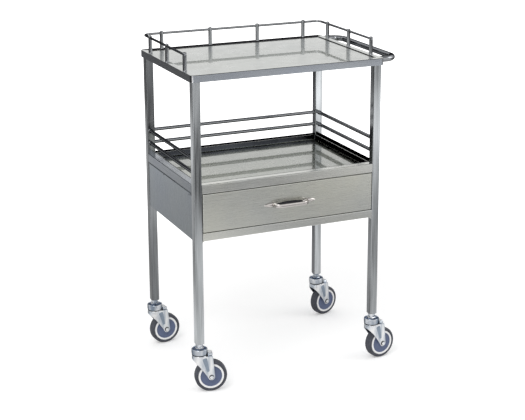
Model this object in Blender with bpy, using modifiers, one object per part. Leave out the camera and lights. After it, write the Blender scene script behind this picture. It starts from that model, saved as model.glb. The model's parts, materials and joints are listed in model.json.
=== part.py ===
"""Instrument trolley: square legs on swivel castors, a railed top deck, a railed shelf and one drawer.

The front faces -Y, +X is to the right and the floor is at z = 0. All sizes are in metres.
"""

import math

import bmesh
import bpy
from mathutils import Vector

# Clearances
SEAM = 0.0003
RUNNING_FIT = 0.00009
CUT_MARGIN = 0.004

# Legs
LEG_SPAN_X = 0.556
LEG_SPAN_Y = 0.388
LEG_BOTTOM = 0.141
TUBE = 0.0225
TUBE_WALL = 0.0012
TUBE_CORNER = 0.0018
SHEET = 0.0012

# Top deck, one pressing with a turned-down rim
TOP_HEIGHT = 0.891
TOP_RIM_DEPTH = 0.0195
TOP_OVERHANG = 0.006
TOP_CORNER = 0.010
TOP_RIM_BAND = 0.018
TOP_DECK_STEP = 0.0025
TOP_WELL_CORNER = 0.003
TOP_LIP = 0.0045

# Guard rail round three sides of the deck
POST_RADIUS = 0.0045
POST_HEIGHT = 0.050
POST_INSET = 0.0085
POST_DOME = 0.0022
POST_DOME_TURNS = (35, 65, 90)
SIDE_POST_PITCH = 0.1350
BACK_POST_PITCH = 0.1480
SIDE_POSTS = 3
BACK_POSTS = 4
RAIL_RADIUS = 0.003
RAIL_DROP = 0.0066
RAIL_BEND = 0.020
RAIL_END = 0.003

# Push handle on the right
HANDLE_RADIUS = 0.008
HANDLE_REACH = 0.052
HANDLE_SPAN = 0.350
HANDLE_BEND = 0.036
HANDLE_LIFT = 0.002

# Lower shelf
SHELF_TOP = 0.592
SHELF_RAIL_HEIGHT = 0.0255
TRAY_DEPTH = 0.015
TRAY_CORNER = 0.004
SHELF_ROD_RADIUS = 0.0042
SHELF_ROD_INSET = 0.009
LOWER_ROD_RISE = 0.0300
UPPER_ROD_RISE = 0.0665

# Drawer cabinet
CABINET_BOTTOM = 0.435
BOTTOM_RAIL_HEIGHT = 0.0225
PANEL_RECESS = 0.0015
PANEL_CORNER = 0.0018
PANEL_FLANGE = 0.011
PANEL_SLOT = 0.0022
PANEL_SIDE_GAP = 0.0005
PANEL_HOLE_RADIUS = 0.0026
PANEL_HOLE_DROP = 0.0055
PANEL_HOLE_FROM_LEG = 0.0200

# Drawer
DRAWER_GAP = 0.0015
DRAWER_FRONT_DEPTH = 0.016
DRAWER_FRONT_EDGE = 0.002
DRAWER_FRONT_LIP = 0.016
DRAWER_BOX_LENGTH = 0.330
DRAWER_BOX_CLEARANCE = 0.005
DRAWER_BOX_CORNER = 0.006
RUNNER_DEPTH = 0.012
RUNNER_HEIGHT = 0.026
RUNNER_WALL = 0.0015
RUNNER_SIDE_GAP = 0.0010
SLIDE_HEIGHT = 0.018
SLIDE_LENGTH = 0.320

# Drawer pull
PULL_LENGTH = 0.155
PULL_LEAF_LENGTH = 0.040
PULL_LEAF_HEIGHT = 0.0125
PULL_LEAF_THICKNESS = 0.0025
PULL_GRIP_SPAN = 0.100
PULL_REACH = 0.023
PULL_STRAP_HEIGHT = 0.011
PULL_STRAP_THICKNESS = 0.0045
PULL_BEND = 0.018

# Castors
WHEEL_RADIUS = 0.045
TYRE_WIDTH = 0.026
TYRE_INNER_RADIUS = 0.036
TYRE_SHOULDER = 0.006
HUB_WIDTH = 0.029
HUB_RIM_WIDTH = 0.024
HUB_BOSS_RADIUS = 0.010
HUB_DISH = 0.0045
HUB_RING_INNER = 0.030
AXLE_RADIUS = 0.004
AXLE_HEAD_RADIUS = 0.0068
AXLE_HEAD_HEIGHT = 0.0035
FORK_GAP = 0.031
FORK_WALL = 0.0025
FORK_TOP = 0.1065
FORK_CROWN = 0.003
FORK_FRONT = 0.0212
FORK_BACK = 0.0345
FORK_SKIRT = 0.009
FORK_HOLLOW_AHEAD = 0.024
FORK_HOLLOW_RISE = 0.024
FORK_EYE_RADIUS = 0.0095
FORK_EYE_FROM = 216
FORK_EYE_TO = 362
SHOULDER_WIDTH = 0.021
SHOULDER_HEIGHT = 0.0075
SHOULDER_CORNER = 0.004
SHOULDER_CLEARANCE = 0.0007
FORK_DOME_RADIUS = 0.019
FORK_DOME_HEIGHT = 0.003
CASTOR_TRAIL = 0.030
HEAD_RADIUS = 0.022
HEAD_HEIGHT = 0.0165
HEAD_CHAMFER = 0.003
KINGPIN_RADIUS = 0.005
RIVET_RADIUS = 0.0085
RIVET_HEIGHT = 0.005
NECK_RADIUS = 0.0085
COLLAR_RADIUS = 0.0108
COLLAR_HEIGHT = 0.0015
NUT_RADIUS = 0.0125
NUT_HEIGHT = 0.006
STEM_LENGTH = 0.028
WHEEL_STEPS = 24
ROUND_STEPS = 20

# How far each castor has swivelled from trailing to the right, in degrees
CASTOR_SWIVEL = {"front_left": -12, "back_left": 4, "back_right": 14, "front_right": 9}

# Finishes: base colour, roughness, metallic
POLISHED = ((0.72, 0.73, 0.73), 0.12, 1.0)
SATIN = ((0.62, 0.64, 0.63), 0.30, 1.0)
CHROME = ((0.80, 0.81, 0.82), 0.06, 1.0)
ZINC = ((0.62, 0.66, 0.70), 0.28, 1.0)
RUBBER = ((0.07, 0.07, 0.08), 0.65, 0.0)
HUB_PLASTIC = ((0.14, 0.16, 0.19), 0.45, 0.0)

LEG_X = LEG_SPAN_X / 2
LEG_Y = LEG_SPAN_Y / 2
RIM_X = LEG_X + TOP_OVERHANG
RIM_Y = LEG_Y + TOP_OVERHANG
BAY_X = LEG_X - TUBE
BAY_Y = LEG_Y - TUBE
SHELF_RAIL_BOTTOM = SHELF_TOP - SHELF_RAIL_HEIGHT
BOTTOM_RAIL_TOP = CABINET_BOTTOM + BOTTOM_RAIL_HEIGHT

for stale in list(bpy.data.objects):
    bpy.data.objects.remove(stale, do_unlink=True)

parts = bpy.data.collections.new("instrument_trolley")
cutters = bpy.data.collections.new("cutters")
for group in (parts, cutters):
    bpy.context.scene.collection.children.link(group)


def material(name, finish):
    colour, roughness, metallic = finish
    made = bpy.data.materials.new(name)
    made.use_nodes = True
    shader = made.node_tree.nodes["Principled BSDF"]
    shader.inputs["Base Color"].default_value = (*colour, 1.0)
    shader.inputs["Roughness"].default_value = roughness
    shader.inputs["Metallic"].default_value = metallic
    return made


def as_part(obj, finish):
    """Files the object under the trolley with a material of its own."""
    parts.objects.link(obj)
    obj.data.materials.clear()
    obj.data.materials.append(material(f"{obj.name}_finish", finish))
    return obj


def as_cutter(obj):
    cutters.objects.link(obj)
    obj.hide_render = True
    obj.display_type = "WIRE"
    return obj


def empty(name, location, turn_z=0.0, parent=None):
    made = bpy.data.objects.new(name, None)
    made.location = location
    made.rotation_euler.z = turn_z
    made.parent = parent
    parts.objects.link(made)
    return made


def mesh_object(name, work):
    mesh = bpy.data.meshes.new(name)
    work.to_mesh(mesh)
    work.free()
    mesh.set_sharp_from_angle(angle=math.radians(35))
    return bpy.data.objects.new(name, mesh)


def block(size):
    """A box of this size round the origin, as a bmesh."""
    work = bmesh.new()
    bmesh.ops.create_cube(work, size=1.0)
    bmesh.ops.scale(work, vec=size, verts=work.verts)
    return work


def box(name, low, high):
    low, high = Vector(low), Vector(high)
    made = mesh_object(name, block(high - low))
    made.location = (low + high) / 2
    return made


def round_edges(work, axis, radius, segments):
    """Rounds the block's four edges that run along this axis."""
    runs = [(edge, edge.verts[0].co - edge.verts[1].co) for edge in work.edges]
    along = [edge for edge, run in runs if abs(run.normalized()[axis]) > 0.99]
    bmesh.ops.bevel(work, geom=along, offset=radius, segments=segments, profile=0.5, affect="EDGES")


def face_towards(work, direction):
    direction = Vector(direction)
    work.normal_update()
    return max(work.faces, key=lambda face: (round(face.normal.dot(direction), 4), face.calc_area()))


def thicken(obj, wall):
    shell = obj.modifiers.new("wall", "SOLIDIFY")
    shell.thickness = wall
    shell.offset = -1
    shell.solidify_mode = "NON_MANIFOLD"
    shell.nonmanifold_thickness_mode = "CONSTRAINTS"
    return obj


def pan(name, low, high, open_side, corner_axis, corner, wall, lip=0.0):
    """A folded sheet box, open on one side, its edges along one axis rounded, with a lip if asked."""
    low, high = Vector(low), Vector(high)
    work = block(high - low)
    round_edges(work, corner_axis, corner, 3)
    if lip:
        bmesh.ops.inset_region(work, faces=[face_towards(work, open_side)], thickness=lip)
    bmesh.ops.delete(work, geom=[face_towards(work, open_side)], context="FACES_ONLY")
    made = thicken(mesh_object(name, work), wall)
    made.location = (low + high) / 2
    return made


def pad(name, half_x, half_y, corner, bottom, top):
    """An upright block round the z axis, its vertical edges rounded."""
    work = block((2 * half_x, 2 * half_y, top - bottom))
    round_edges(work, 2, corner, 3)
    made = mesh_object(name, work)
    made.location.z = (bottom + top) / 2
    return made


def rounded_box(name, low, high, axis, corner):
    """A box whose four edges along one axis are rounded."""
    low, high = Vector(low), Vector(high)
    work = block(high - low)
    round_edges(work, axis, corner, 3)
    made = mesh_object(name, work)
    made.location = (low + high) / 2
    return made


def rod(name, centre, axis, length, radius, steps):
    """A round bar along x, y or z."""
    work = bmesh.new()
    bmesh.ops.create_cone(work, cap_ends=True, segments=steps, radius1=radius, radius2=radius, depth=length)
    made = mesh_object(name, work)
    made.location = centre
    made.rotation_euler = {"x": (0, math.pi / 2, 0), "y": (math.pi / 2, 0, 0), "z": (0, 0, 0)}[axis]
    made.data.shade_smooth()
    made.data.set_sharp_from_angle(angle=math.radians(35))
    return made


def turned(name, profile, steps, closed=False):
    """A profile of (radius, height) points turned about z: down the outside, and up the bore if closed."""
    mesh = bpy.data.meshes.new(name)
    edges = [(i, i + 1) for i in range(len(profile) - 1)]
    if closed:
        edges.append((len(profile) - 1, 0))
    mesh.from_pydata([(radius, 0, height) for radius, height in profile], edges, [])
    made = bpy.data.objects.new(name, mesh)
    screw = made.modifiers.new("turn", "SCREW")
    screw.steps = screw.render_steps = steps
    screw.use_merge_vertices = True
    screw.merge_threshold = 0.0001
    screw.use_smooth_shade = False
    return made


def arc(centre, radius, start, end, steps):
    """Points on an arc from one angle to another, in degrees."""
    turns = [math.radians(start + (end - start) * i / steps) for i in range(steps + 1)]
    return [(centre[0] + radius * math.cos(turn), centre[1] + radius * math.sin(turn)) for turn in turns]


def rounded_rectangle(width, height, radius):
    x, y = width / 2 - radius, height / 2 - radius
    corners = ((x, y, 0), (-x, y, 90), (-x, -y, 180), (x, -y, 270))
    return [point for cx, cy, start in corners for point in arc((cx, cy), radius, start, start + 90, 2)]


def plate(name, outlines, thickness):
    """A flat shape in the xy plane, centred on z = 0; outlines inside the first are openings."""
    curve = bpy.data.curves.new(name, "CURVE")
    curve.dimensions = "2D"
    curve.fill_mode = "BOTH"
    curve.extrude = thickness / 2
    for outline in outlines:
        spline = curve.splines.new("POLY")
        spline.points.add(len(outline) - 1)
        for point, (x, y) in zip(spline.points, outline):
            point.co = (x, y, 0, 1)
        spline.use_cyclic_u = True
    return bpy.data.objects.new(name, curve)


def square_tube(name, centre, axis, length, width, height):
    """A hollow section along x, y or z; height is its vertical side when it lies flat."""
    inside = (width - 2 * TUBE_WALL, height - 2 * TUBE_WALL, TUBE_CORNER / 2)
    outlines = [rounded_rectangle(width, height, TUBE_CORNER), rounded_rectangle(*inside)]
    made = plate(name, outlines, length)
    made.location = centre
    made.rotation_euler = {"x": (math.pi / 2, 0, math.pi / 2), "y": (math.pi / 2, 0, 0), "z": (0, 0, 0)}[axis]
    return made


def bent_path(corners, bend, steps):
    """The corner points joined by straight runs, each inner corner rounded to the bend radius."""
    corners = [Vector(corner) for corner in corners]
    path = [corners[0]]
    for before, here, after in zip(corners, corners[1:], corners[2:]):
        back = (before - here).normalized()
        ahead = (after - here).normalized()
        half = back.angle(ahead) / 2
        centre = here + (back + ahead).normalized() * bend / math.sin(half)
        start = here + back * bend / math.tan(half)
        end = here + ahead * bend / math.tan(half)
        spokes = (start - centre, end - centre)
        path += [centre + spokes[0].slerp(spokes[1], i / steps).normalized() * bend for i in range(steps + 1)]
    return path + [corners[-1]]


def bent_rod(name, path, radius, resolution):
    curve = bpy.data.curves.new(name, "CURVE")
    curve.dimensions = "3D"
    curve.bevel_depth = radius
    curve.bevel_resolution = resolution
    curve.use_fill_caps = True
    spline = curve.splines.new("POLY")
    spline.points.add(len(path) - 1)
    for point, place in zip(spline.points, path):
        point.co = (*place, 1)
    spline.use_smooth = True
    return bpy.data.objects.new(name, curve)


def meshed(obj):
    """The curve object made a closed mesh, ready for a Boolean."""
    scene = bpy.context.scene.collection
    scene.objects.link(obj)
    bpy.context.view_layer.update()
    evaluated = obj.evaluated_get(bpy.context.evaluated_depsgraph_get())
    mesh = bpy.data.meshes.new_from_object(evaluated)
    work = bmesh.new()
    work.from_mesh(mesh)
    bmesh.ops.remove_doubles(work, verts=work.verts, dist=0.00001)
    bmesh.ops.recalc_face_normals(work, faces=work.faces)
    work.to_mesh(mesh)
    work.free()
    name = obj.name
    placed = obj.matrix_world.copy()
    bpy.data.objects.remove(obj, do_unlink=True)
    made = bpy.data.objects.new(name, mesh)
    made.matrix_world = placed
    return made


def combine(obj, other, operation):
    joined = obj.modifiers.new(other.name, "BOOLEAN")
    joined.operation = operation
    joined.object = as_cutter(other)
    return obj


def make_top_deck():
    """The deck sheet: a flat band, a shallow step down to the deck, and a skirt with a turned-in lip."""
    rim_bottom = TOP_HEIGHT - TOP_RIM_DEPTH
    deck_z = TOP_HEIGHT - TOP_DECK_STEP
    low = (-RIM_X, -RIM_Y, rim_bottom)
    high = (RIM_X, RIM_Y, TOP_HEIGHT)
    deck_sheet = pan("top_deck", low, high, (0, 0, -1), 2, TOP_CORNER, SHEET, TOP_LIP)
    well_x = RIM_X - TOP_RIM_BAND
    well_y = RIM_Y - TOP_RIM_BAND
    outside = (well_x + SHEET, well_y + SHEET, TOP_WELL_CORNER + SHEET)
    well = pad("top_deck_well", *outside, deck_z - SHEET, TOP_HEIGHT - SHEET / 2)
    hollow = pad("top_deck_hollow", well_x, well_y, TOP_WELL_CORNER, deck_z, TOP_HEIGHT + CUT_MARGIN)
    combine(deck_sheet, well, "UNION")
    as_part(combine(deck_sheet, hollow, "DIFFERENCE"), POLISHED)


def make_guard_rail():
    """One rod bent round the back corners, carried through the posts that stand on the rim."""
    rail_x = RIM_X - POST_INSET
    rail_y = RIM_Y - POST_INSET
    rail_z = TOP_HEIGHT + POST_HEIGHT - RAIL_DROP
    front_end = -SIDE_POST_PITCH * (SIDE_POSTS - 1) / 2 - POST_RADIUS - RAIL_END
    corners = [(-rail_x, front_end), (-rail_x, rail_y), (rail_x, rail_y), (rail_x, front_end)]
    path = bent_path([(x, y, rail_z) for x, y in corners], RAIL_BEND, 6)
    as_part(bent_rod("guard_rail", path, RAIL_RADIUS, 2), CHROME)

    side_rows = [(i - (SIDE_POSTS - 1) / 2) * SIDE_POST_PITCH for i in range(SIDE_POSTS)]
    back_rows = [(i - (BACK_POSTS - 1) / 2) * BACK_POST_PITCH for i in range(BACK_POSTS)]
    places = [(f"left_{i + 1}", -rail_x, y, "y") for i, y in enumerate(side_rows)]
    places += [(f"back_{i + 1}", x, rail_y, "x") for i, x in enumerate(back_rows)]
    places += [(f"right_{i + 1}", rail_x, y, "y") for i, y in enumerate(side_rows)]
    dome = [(0, POST_HEIGHT)]
    dome += [(POST_RADIUS * math.sin(a), POST_HEIGHT - POST_DOME * (1 - math.cos(a)))
             for a in map(math.radians, POST_DOME_TURNS)]
    for label, x, y, along in places:
        post = turned(f"guard_post_{label}", dome + [(POST_RADIUS, SEAM), (0, SEAM)], 12)
        post.location = (x, y, TOP_HEIGHT)
        length = 2 * POST_RADIUS + CUT_MARGIN
        hole = rod(f"{post.name}_hole", (x, y, rail_z), along, length, RAIL_RADIUS + SEAM, 10)
        as_part(combine(post, hole, "DIFFERENCE"), CHROME)


def make_push_handle():
    inner = RIM_X + SEAM
    outer = RIM_X + HANDLE_REACH
    handle_z = TOP_HEIGHT - TOP_RIM_DEPTH / 2 + HANDLE_LIFT
    end = HANDLE_SPAN / 2
    corners = [(inner, -end), (outer, -end), (outer, end), (inner, end)]
    path = bent_path([(x, y, handle_z) for x, y in corners], HANDLE_BEND, 7)
    as_part(bent_rod("push_handle", path, HANDLE_RADIUS, 3), CHROME)


def make_legs():
    top = TOP_HEIGHT - TOP_DECK_STEP - SHEET - SEAM
    for side, x in (("left", -1), ("right", 1)):
        for end, y in (("front", -1), ("back", 1)):
            centre = (x * (LEG_X - TUBE / 2), y * (LEG_Y - TUBE / 2), (LEG_BOTTOM + top) / 2)
            leg = square_tube(f"leg_{end}_{side}", centre, "z", top - LEG_BOTTOM, TUBE, TUBE)
            as_part(leg, SATIN)


def make_rails(prefix, centre_z, height, sides):
    """Square tubes between the legs, butted to them."""
    runs = {"front": ("x", 0, -1), "back": ("x", 0, 1), "left": ("y", -1, 0), "right": ("y", 1, 0)}
    for side in sides:
        axis, x, y = runs[side]
        length = 2 * (BAY_X if axis == "x" else BAY_Y) - 2 * SEAM
        centre = (x * (LEG_X - TUBE / 2), y * (LEG_Y - TUBE / 2), centre_z)
        as_part(square_tube(f"{prefix}_{side}", centre, axis, length, TUBE, height), SATIN)


def make_lower_shelf():
    sides = ("front", "back", "left", "right")
    make_rails("shelf_rail", SHELF_TOP - SHELF_RAIL_HEIGHT / 2, SHELF_RAIL_HEIGHT, sides)
    low = (-BAY_X + SEAM, -BAY_Y + SEAM, SHELF_TOP - TRAY_DEPTH - SHEET)
    high = (BAY_X - SEAM, BAY_Y - SEAM, SHELF_TOP)
    tray = pan("shelf_tray", low, high, (0, 0, 1), 2, TRAY_CORNER, SHEET)
    as_part(tray, POLISHED)
    rod_x = LEG_X - SHELF_ROD_INSET
    rod_y = LEG_Y - SHELF_ROD_INSET
    runs = (("left", -rod_x, 0, "y", BAY_Y), ("back", 0, rod_y, "x", BAY_X), ("right", rod_x, 0, "y", BAY_Y))
    for level, rise in (("lower", LOWER_ROD_RISE), ("upper", UPPER_ROD_RISE)):
        for side, x, y, axis, reach in runs:
            centre = (x, y, SHELF_TOP + rise)
            bar = rod(f"shelf_rod_{side}_{level}", centre, axis, 2 * (reach - SEAM), SHELF_ROD_RADIUS, 14)
            as_part(bar, CHROME)


def make_cabinet():
    make_rails("bottom_rail", CABINET_BOTTOM + BOTTOM_RAIL_HEIGHT / 2, BOTTOM_RAIL_HEIGHT, ("front", "back"))
    panel_top = SHELF_RAIL_BOTTOM - PANEL_SLOT
    reach = BAY_Y - PANEL_SIDE_GAP
    for side, x in (("left", -1), ("right", 1)):
        outer = x * (LEG_X - PANEL_RECESS)
        inner = outer - x * PANEL_FLANGE
        low = (min(outer, inner), -reach, CABINET_BOTTOM)
        high = (max(outer, inner), reach, panel_top)
        panel = pan(f"side_panel_{side}", low, high, (-x, 0, 0), 1, PANEL_CORNER, SHEET)
        place = (outer, -BAY_Y + PANEL_HOLE_FROM_LEG, panel_top - PANEL_HOLE_DROP)
        hole = rod(f"{panel.name}_hole", place, "x", PANEL_FLANGE, PANEL_HOLE_RADIUS, 12)
        as_part(combine(panel, hole, "DIFFERENCE"), SATIN)
    reach = BAY_X - PANEL_SIDE_GAP
    outer = LEG_Y - PANEL_RECESS
    low = (-reach, outer - PANEL_FLANGE, BOTTOM_RAIL_TOP + SEAM)
    high = (reach, outer, panel_top)
    as_part(pan("back_panel", low, high, (0, -1, 0), 0, PANEL_CORNER, SHEET), SATIN)


def make_runners(drawer):
    """A channel on each pair of legs, and the bar on the drawer that runs in it."""
    runner_z = (BOTTOM_RAIL_TOP + SHELF_RAIL_BOTTOM) / 2
    channel_x = BAY_X - SEAM - RUNNER_DEPTH
    bar_inner = channel_x - RUNNER_SIDE_GAP + SEAM
    bar_outer = BAY_X - SEAM - RUNNER_WALL - RUNNER_SIDE_GAP
    half = RUNNER_HEIGHT / 2
    for side, x in (("left", -1), ("right", 1)):
        ends = sorted((x * channel_x, x * (BAY_X - SEAM)))
        low = (ends[0], -LEG_Y + DRAWER_FRONT_DEPTH + DRAWER_GAP, runner_z - half)
        high = (ends[1], LEG_Y - PANEL_RECESS - PANEL_FLANGE - DRAWER_GAP, runner_z + half)
        work = block(Vector(high) - Vector(low))
        faces = [face_towards(work, way) for way in ((-x, 0, 0), (0, 1, 0), (0, -1, 0))]
        bmesh.ops.delete(work, geom=faces, context="FACES_ONLY")
        runner = thicken(mesh_object(f"drawer_runner_{side}", work), RUNNER_WALL)
        runner.location = (Vector(low) + Vector(high)) / 2
        as_part(runner, ZINC)
        ends = sorted((x * bar_inner, x * bar_outer))
        front = -LEG_Y + DRAWER_FRONT_DEPTH + 2 * DRAWER_GAP
        low = (ends[0], front, runner_z - SLIDE_HEIGHT / 2)
        high = (ends[1], front + SLIDE_LENGTH, runner_z + SLIDE_HEIGHT / 2)
        bar = box(f"drawer_slide_{side}", low, high)
        bar.parent = drawer
        as_part(bar, ZINC)


def leaf(name, centre_x, centre_z, front_y):
    """A pointed oval plate lying against the drawer front."""
    half_length, half_height = PULL_LEAF_LENGTH / 2, PULL_LEAF_HEIGHT / 2
    radius = (half_length**2 + half_height**2) / (2 * half_height)
    spread = math.degrees(math.asin(half_length / radius))
    outline = arc((0, half_height - radius), radius, 90 - spread, 90 + spread, 6)
    outline += arc((0, radius - half_height), radius, 270 - spread, 270 + spread, 6)[1:-1]
    made = plate(name, [outline], PULL_LEAF_THICKNESS)
    made.location = (centre_x, front_y - PULL_LEAF_THICKNESS / 2, centre_z)
    made.rotation_euler.x = math.pi / 2
    return meshed(made)


def make_drawer():
    """The drawer in its closed place, on an empty that slides along y."""
    drawer = empty("drawer_slide_axis", (0, 0, (BOTTOM_RAIL_TOP + SHELF_RAIL_BOTTOM) / 2))
    bpy.context.view_layer.update()
    back_to_parent = drawer.matrix_world.inverted()

    front_low = (-BAY_X + DRAWER_GAP, -LEG_Y, BOTTOM_RAIL_TOP + DRAWER_GAP)
    front_high = (BAY_X - DRAWER_GAP, -LEG_Y + DRAWER_FRONT_DEPTH, SHELF_RAIL_BOTTOM - DRAWER_GAP)
    edge, lip = DRAWER_FRONT_EDGE, DRAWER_FRONT_LIP
    front = pan("drawer_front", front_low, front_high, (0, 1, 0), 1, edge, SHEET, lip)

    box_x = BAY_X - SEAM - RUNNER_DEPTH - RUNNER_SIDE_GAP
    box_low = (-box_x, -LEG_Y + DRAWER_FRONT_DEPTH + SEAM, BOTTOM_RAIL_TOP + DRAWER_BOX_CLEARANCE)
    box_back = -LEG_Y + DRAWER_FRONT_DEPTH + SEAM + DRAWER_BOX_LENGTH
    box_high = (box_x, box_back, SHELF_RAIL_BOTTOM - DRAWER_BOX_CLEARANCE)
    tub = pan("drawer_box", box_low, box_high, (0, 0, 1), 2, DRAWER_BOX_CORNER, SHEET)

    centre_z = (front_low[2] + front_high[2]) / 2
    face_y = -LEG_Y - SEAM
    leaf_x = (PULL_LENGTH - PULL_LEAF_LENGTH) / 2
    ends = (("left", -leaf_x), ("right", leaf_x))
    leaves = [leaf(f"pull_leaf_{side}", x, centre_z, face_y) for side, x in ends]
    grip_x = PULL_GRIP_SPAN / 2
    rooted = face_y - PULL_LEAF_THICKNESS / 2
    grip_y = face_y - PULL_REACH
    corners = [(-grip_x, rooted), (-grip_x, grip_y), (grip_x, grip_y), (grip_x, rooted)]
    path = bent_path([(x, y, 0) for x, y in corners], PULL_BEND, 6)
    strap = bent_rod("drawer_pull", path, PULL_STRAP_THICKNESS / 2, 2)
    strap.scale.z = PULL_STRAP_HEIGHT / PULL_STRAP_THICKNESS
    strap.location.z = centre_z
    pull = meshed(strap)
    for end in leaves:
        combine(pull, end, "UNION")

    for piece, finish in ((front, SATIN), (tub, SATIN), (pull, CHROME)):
        as_part(piece, finish)
        piece.parent = drawer
        piece.matrix_parent_inverse = back_to_parent
    make_runners(drawer)
    for side in ("left", "right"):
        bpy.data.objects[f"drawer_slide_{side}"].matrix_parent_inverse = back_to_parent


def sweep(start, towards, end, steps):
    """Points on a hollow curve that leaves one end towards a point and comes into the other end from it."""
    start, towards, end = Vector(start), Vector(towards), Vector(end)
    places = [i / steps for i in range(steps + 1)]
    return [tuple(start.lerp(towards, t).lerp(towards.lerp(end, t), t)) for t in places]


def fork_outline():
    """The fork's side: a skirt under the crown, a hollow sweep down to the axle's eye, a straight back."""
    eye_x, eye_z = CASTOR_TRAIL, WHEEL_RADIUS
    eye = arc((eye_x, eye_z), FORK_EYE_RADIUS, FORK_EYE_FROM, FORK_EYE_TO, 8)
    hollow = (eye_x - FORK_HOLLOW_AHEAD, eye_z + FORK_HOLLOW_RISE)
    front = sweep((-FORK_FRONT, FORK_TOP - FORK_SKIRT), hollow, eye[0], 6)
    return [(-FORK_FRONT, FORK_TOP)] + front[:-1] + eye + [(FORK_BACK, FORK_TOP)]


def fork_plan(name):
    """The fork from above: round at the front under the swivel race, straight behind it."""
    back = CASTOR_TRAIL + FORK_EYE_RADIUS + CUT_MARGIN
    outline = arc((0, 0), FORK_FRONT, 90, 270, 12) + [(back, -FORK_FRONT), (back, FORK_FRONT)]
    return meshed(plate(name, [outline], 2 * FORK_TOP + CUT_MARGIN))


def make_castor(label, x, y, swivel):
    """A stem head in the leg, and a fork that swivels on its kingpin and carries the wheel behind it."""
    head_low = FORK_TOP + FORK_DOME_HEIGHT + SEAM
    head_high = head_low + HEAD_HEIGHT
    rivet_top = FORK_TOP - FORK_CROWN - SEAM
    stem_radius = TUBE / 2 - TUBE_WALL - SEAM
    profile = [(0, LEG_BOTTOM + STEM_LENGTH), (stem_radius, LEG_BOTTOM + STEM_LENGTH)]
    collar_low = LEG_BOTTOM - SEAM - COLLAR_HEIGHT
    profile += [(stem_radius, LEG_BOTTOM - SEAM), (COLLAR_RADIUS, LEG_BOTTOM - SEAM)]
    profile += [(COLLAR_RADIUS, collar_low), (NECK_RADIUS, collar_low)]
    profile += [(NECK_RADIUS, head_high), (HEAD_RADIUS - HEAD_CHAMFER, head_high)]
    profile += [(HEAD_RADIUS, head_high - HEAD_CHAMFER), (HEAD_RADIUS, head_low), (KINGPIN_RADIUS, head_low)]
    rivet_low = rivet_top - RIVET_HEIGHT
    profile += [(KINGPIN_RADIUS, rivet_top), (RIVET_RADIUS, rivet_top), (RIVET_RADIUS, rivet_low)]
    head = turned(f"castor_{label}_head", profile + [(0, rivet_low)], ROUND_STEPS)
    head.location = (x, y, 0)
    nut_work = bmesh.new()
    nut_size = {"radius1": NUT_RADIUS, "radius2": NUT_RADIUS, "depth": NUT_HEIGHT}
    bmesh.ops.create_cone(nut_work, cap_ends=True, segments=6, **nut_size)
    nut = mesh_object(f"castor_{label}_nut", nut_work)
    nut.location = (x, y, head_high + NUT_HEIGHT / 2 - SEAM)
    as_part(combine(head, nut, "UNION"), ZINC)

    pivot = empty(f"castor_{label}_swivel", (x, y, 0), math.radians(swivel))
    fork_width = FORK_GAP + 2 * FORK_WALL
    fork = plate(f"castor_{label}_fork", [fork_outline()], fork_width)
    fork.rotation_euler.x = math.pi / 2
    fork = meshed(fork)
    slot_low = (-FORK_FRONT - CUT_MARGIN, -FORK_GAP / 2, 0)
    slot_high = (CASTOR_TRAIL + FORK_EYE_RADIUS + CUT_MARGIN, FORK_GAP / 2, FORK_TOP - FORK_CROWN)
    slot = box(f"{fork.name}_slot", slot_low, slot_high)
    dome_z = FORK_TOP + (FORK_DOME_HEIGHT - FORK_CROWN / 2) / 2
    dome_length = FORK_DOME_HEIGHT + FORK_CROWN / 2
    dome = rod(f"{fork.name}_dome", (0, 0, dome_z), "z", dome_length, FORK_DOME_RADIUS, 24)
    pin_radius = KINGPIN_RADIUS + RUNNING_FIT
    pin_length = 2 * (FORK_CROWN + FORK_DOME_HEIGHT) + CUT_MARGIN
    pin_hole = rod(f"{fork.name}_pin_hole", (0, 0, FORK_TOP), "z", pin_length, pin_radius, 24)
    eye = (CASTOR_TRAIL, 0, WHEEL_RADIUS)
    axle_hole = rod(f"{fork.name}_axle_hole", eye, "y", fork_width + CUT_MARGIN, AXLE_RADIUS + SEAM, 16)
    shoulder_low = (HEAD_RADIUS + SHOULDER_CLEARANCE, -SHOULDER_WIDTH / 2, FORK_TOP - FORK_CROWN / 2)
    shoulder_high = (FORK_BACK - SEAM, SHOULDER_WIDTH / 2, FORK_TOP + SHOULDER_HEIGHT)
    shoulder = rounded_box(f"{fork.name}_shoulder", shoulder_low, shoulder_high, 1, SHOULDER_CORNER)
    plan = fork_plan(f"{fork.name}_plan")
    combine(fork, slot, "DIFFERENCE")
    combine(fork, plan, "INTERSECT")
    combine(fork, shoulder, "UNION")
    combine(fork, dome, "UNION")
    combine(fork, pin_hole, "DIFFERENCE")
    combine(fork, axle_hole, "DIFFERENCE")
    as_part(fork, ZINC)
    for piece in (fork, slot, plan, shoulder, dome, pin_hole, axle_hole):
        piece.parent = pivot

    half = fork_width / 2 + SEAM
    tip = half + AXLE_HEAD_HEIGHT
    bolt = [(0, tip), (AXLE_HEAD_RADIUS, tip), (AXLE_HEAD_RADIUS, half), (AXLE_RADIUS, half)]
    bolt += [(radius, -height) for radius, height in reversed(bolt)]
    axle = turned(f"castor_{label}_axle", bolt, 16)
    as_part(axle, ZINC)

    edge = TYRE_WIDTH / 2
    inner = TYRE_INNER_RADIUS + SEAM
    shoulder = arc((WHEEL_RADIUS - TYRE_SHOULDER, edge - TYRE_SHOULDER), TYRE_SHOULDER, 90, 0, 3)
    tread = [(inner, edge)] + shoulder
    tread += [(radius, -height) for radius, height in reversed(tread)]
    tyre = turned(f"castor_{label}_tyre", tread, WHEEL_STEPS, closed=True)
    as_part(tyre, RUBBER)

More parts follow.
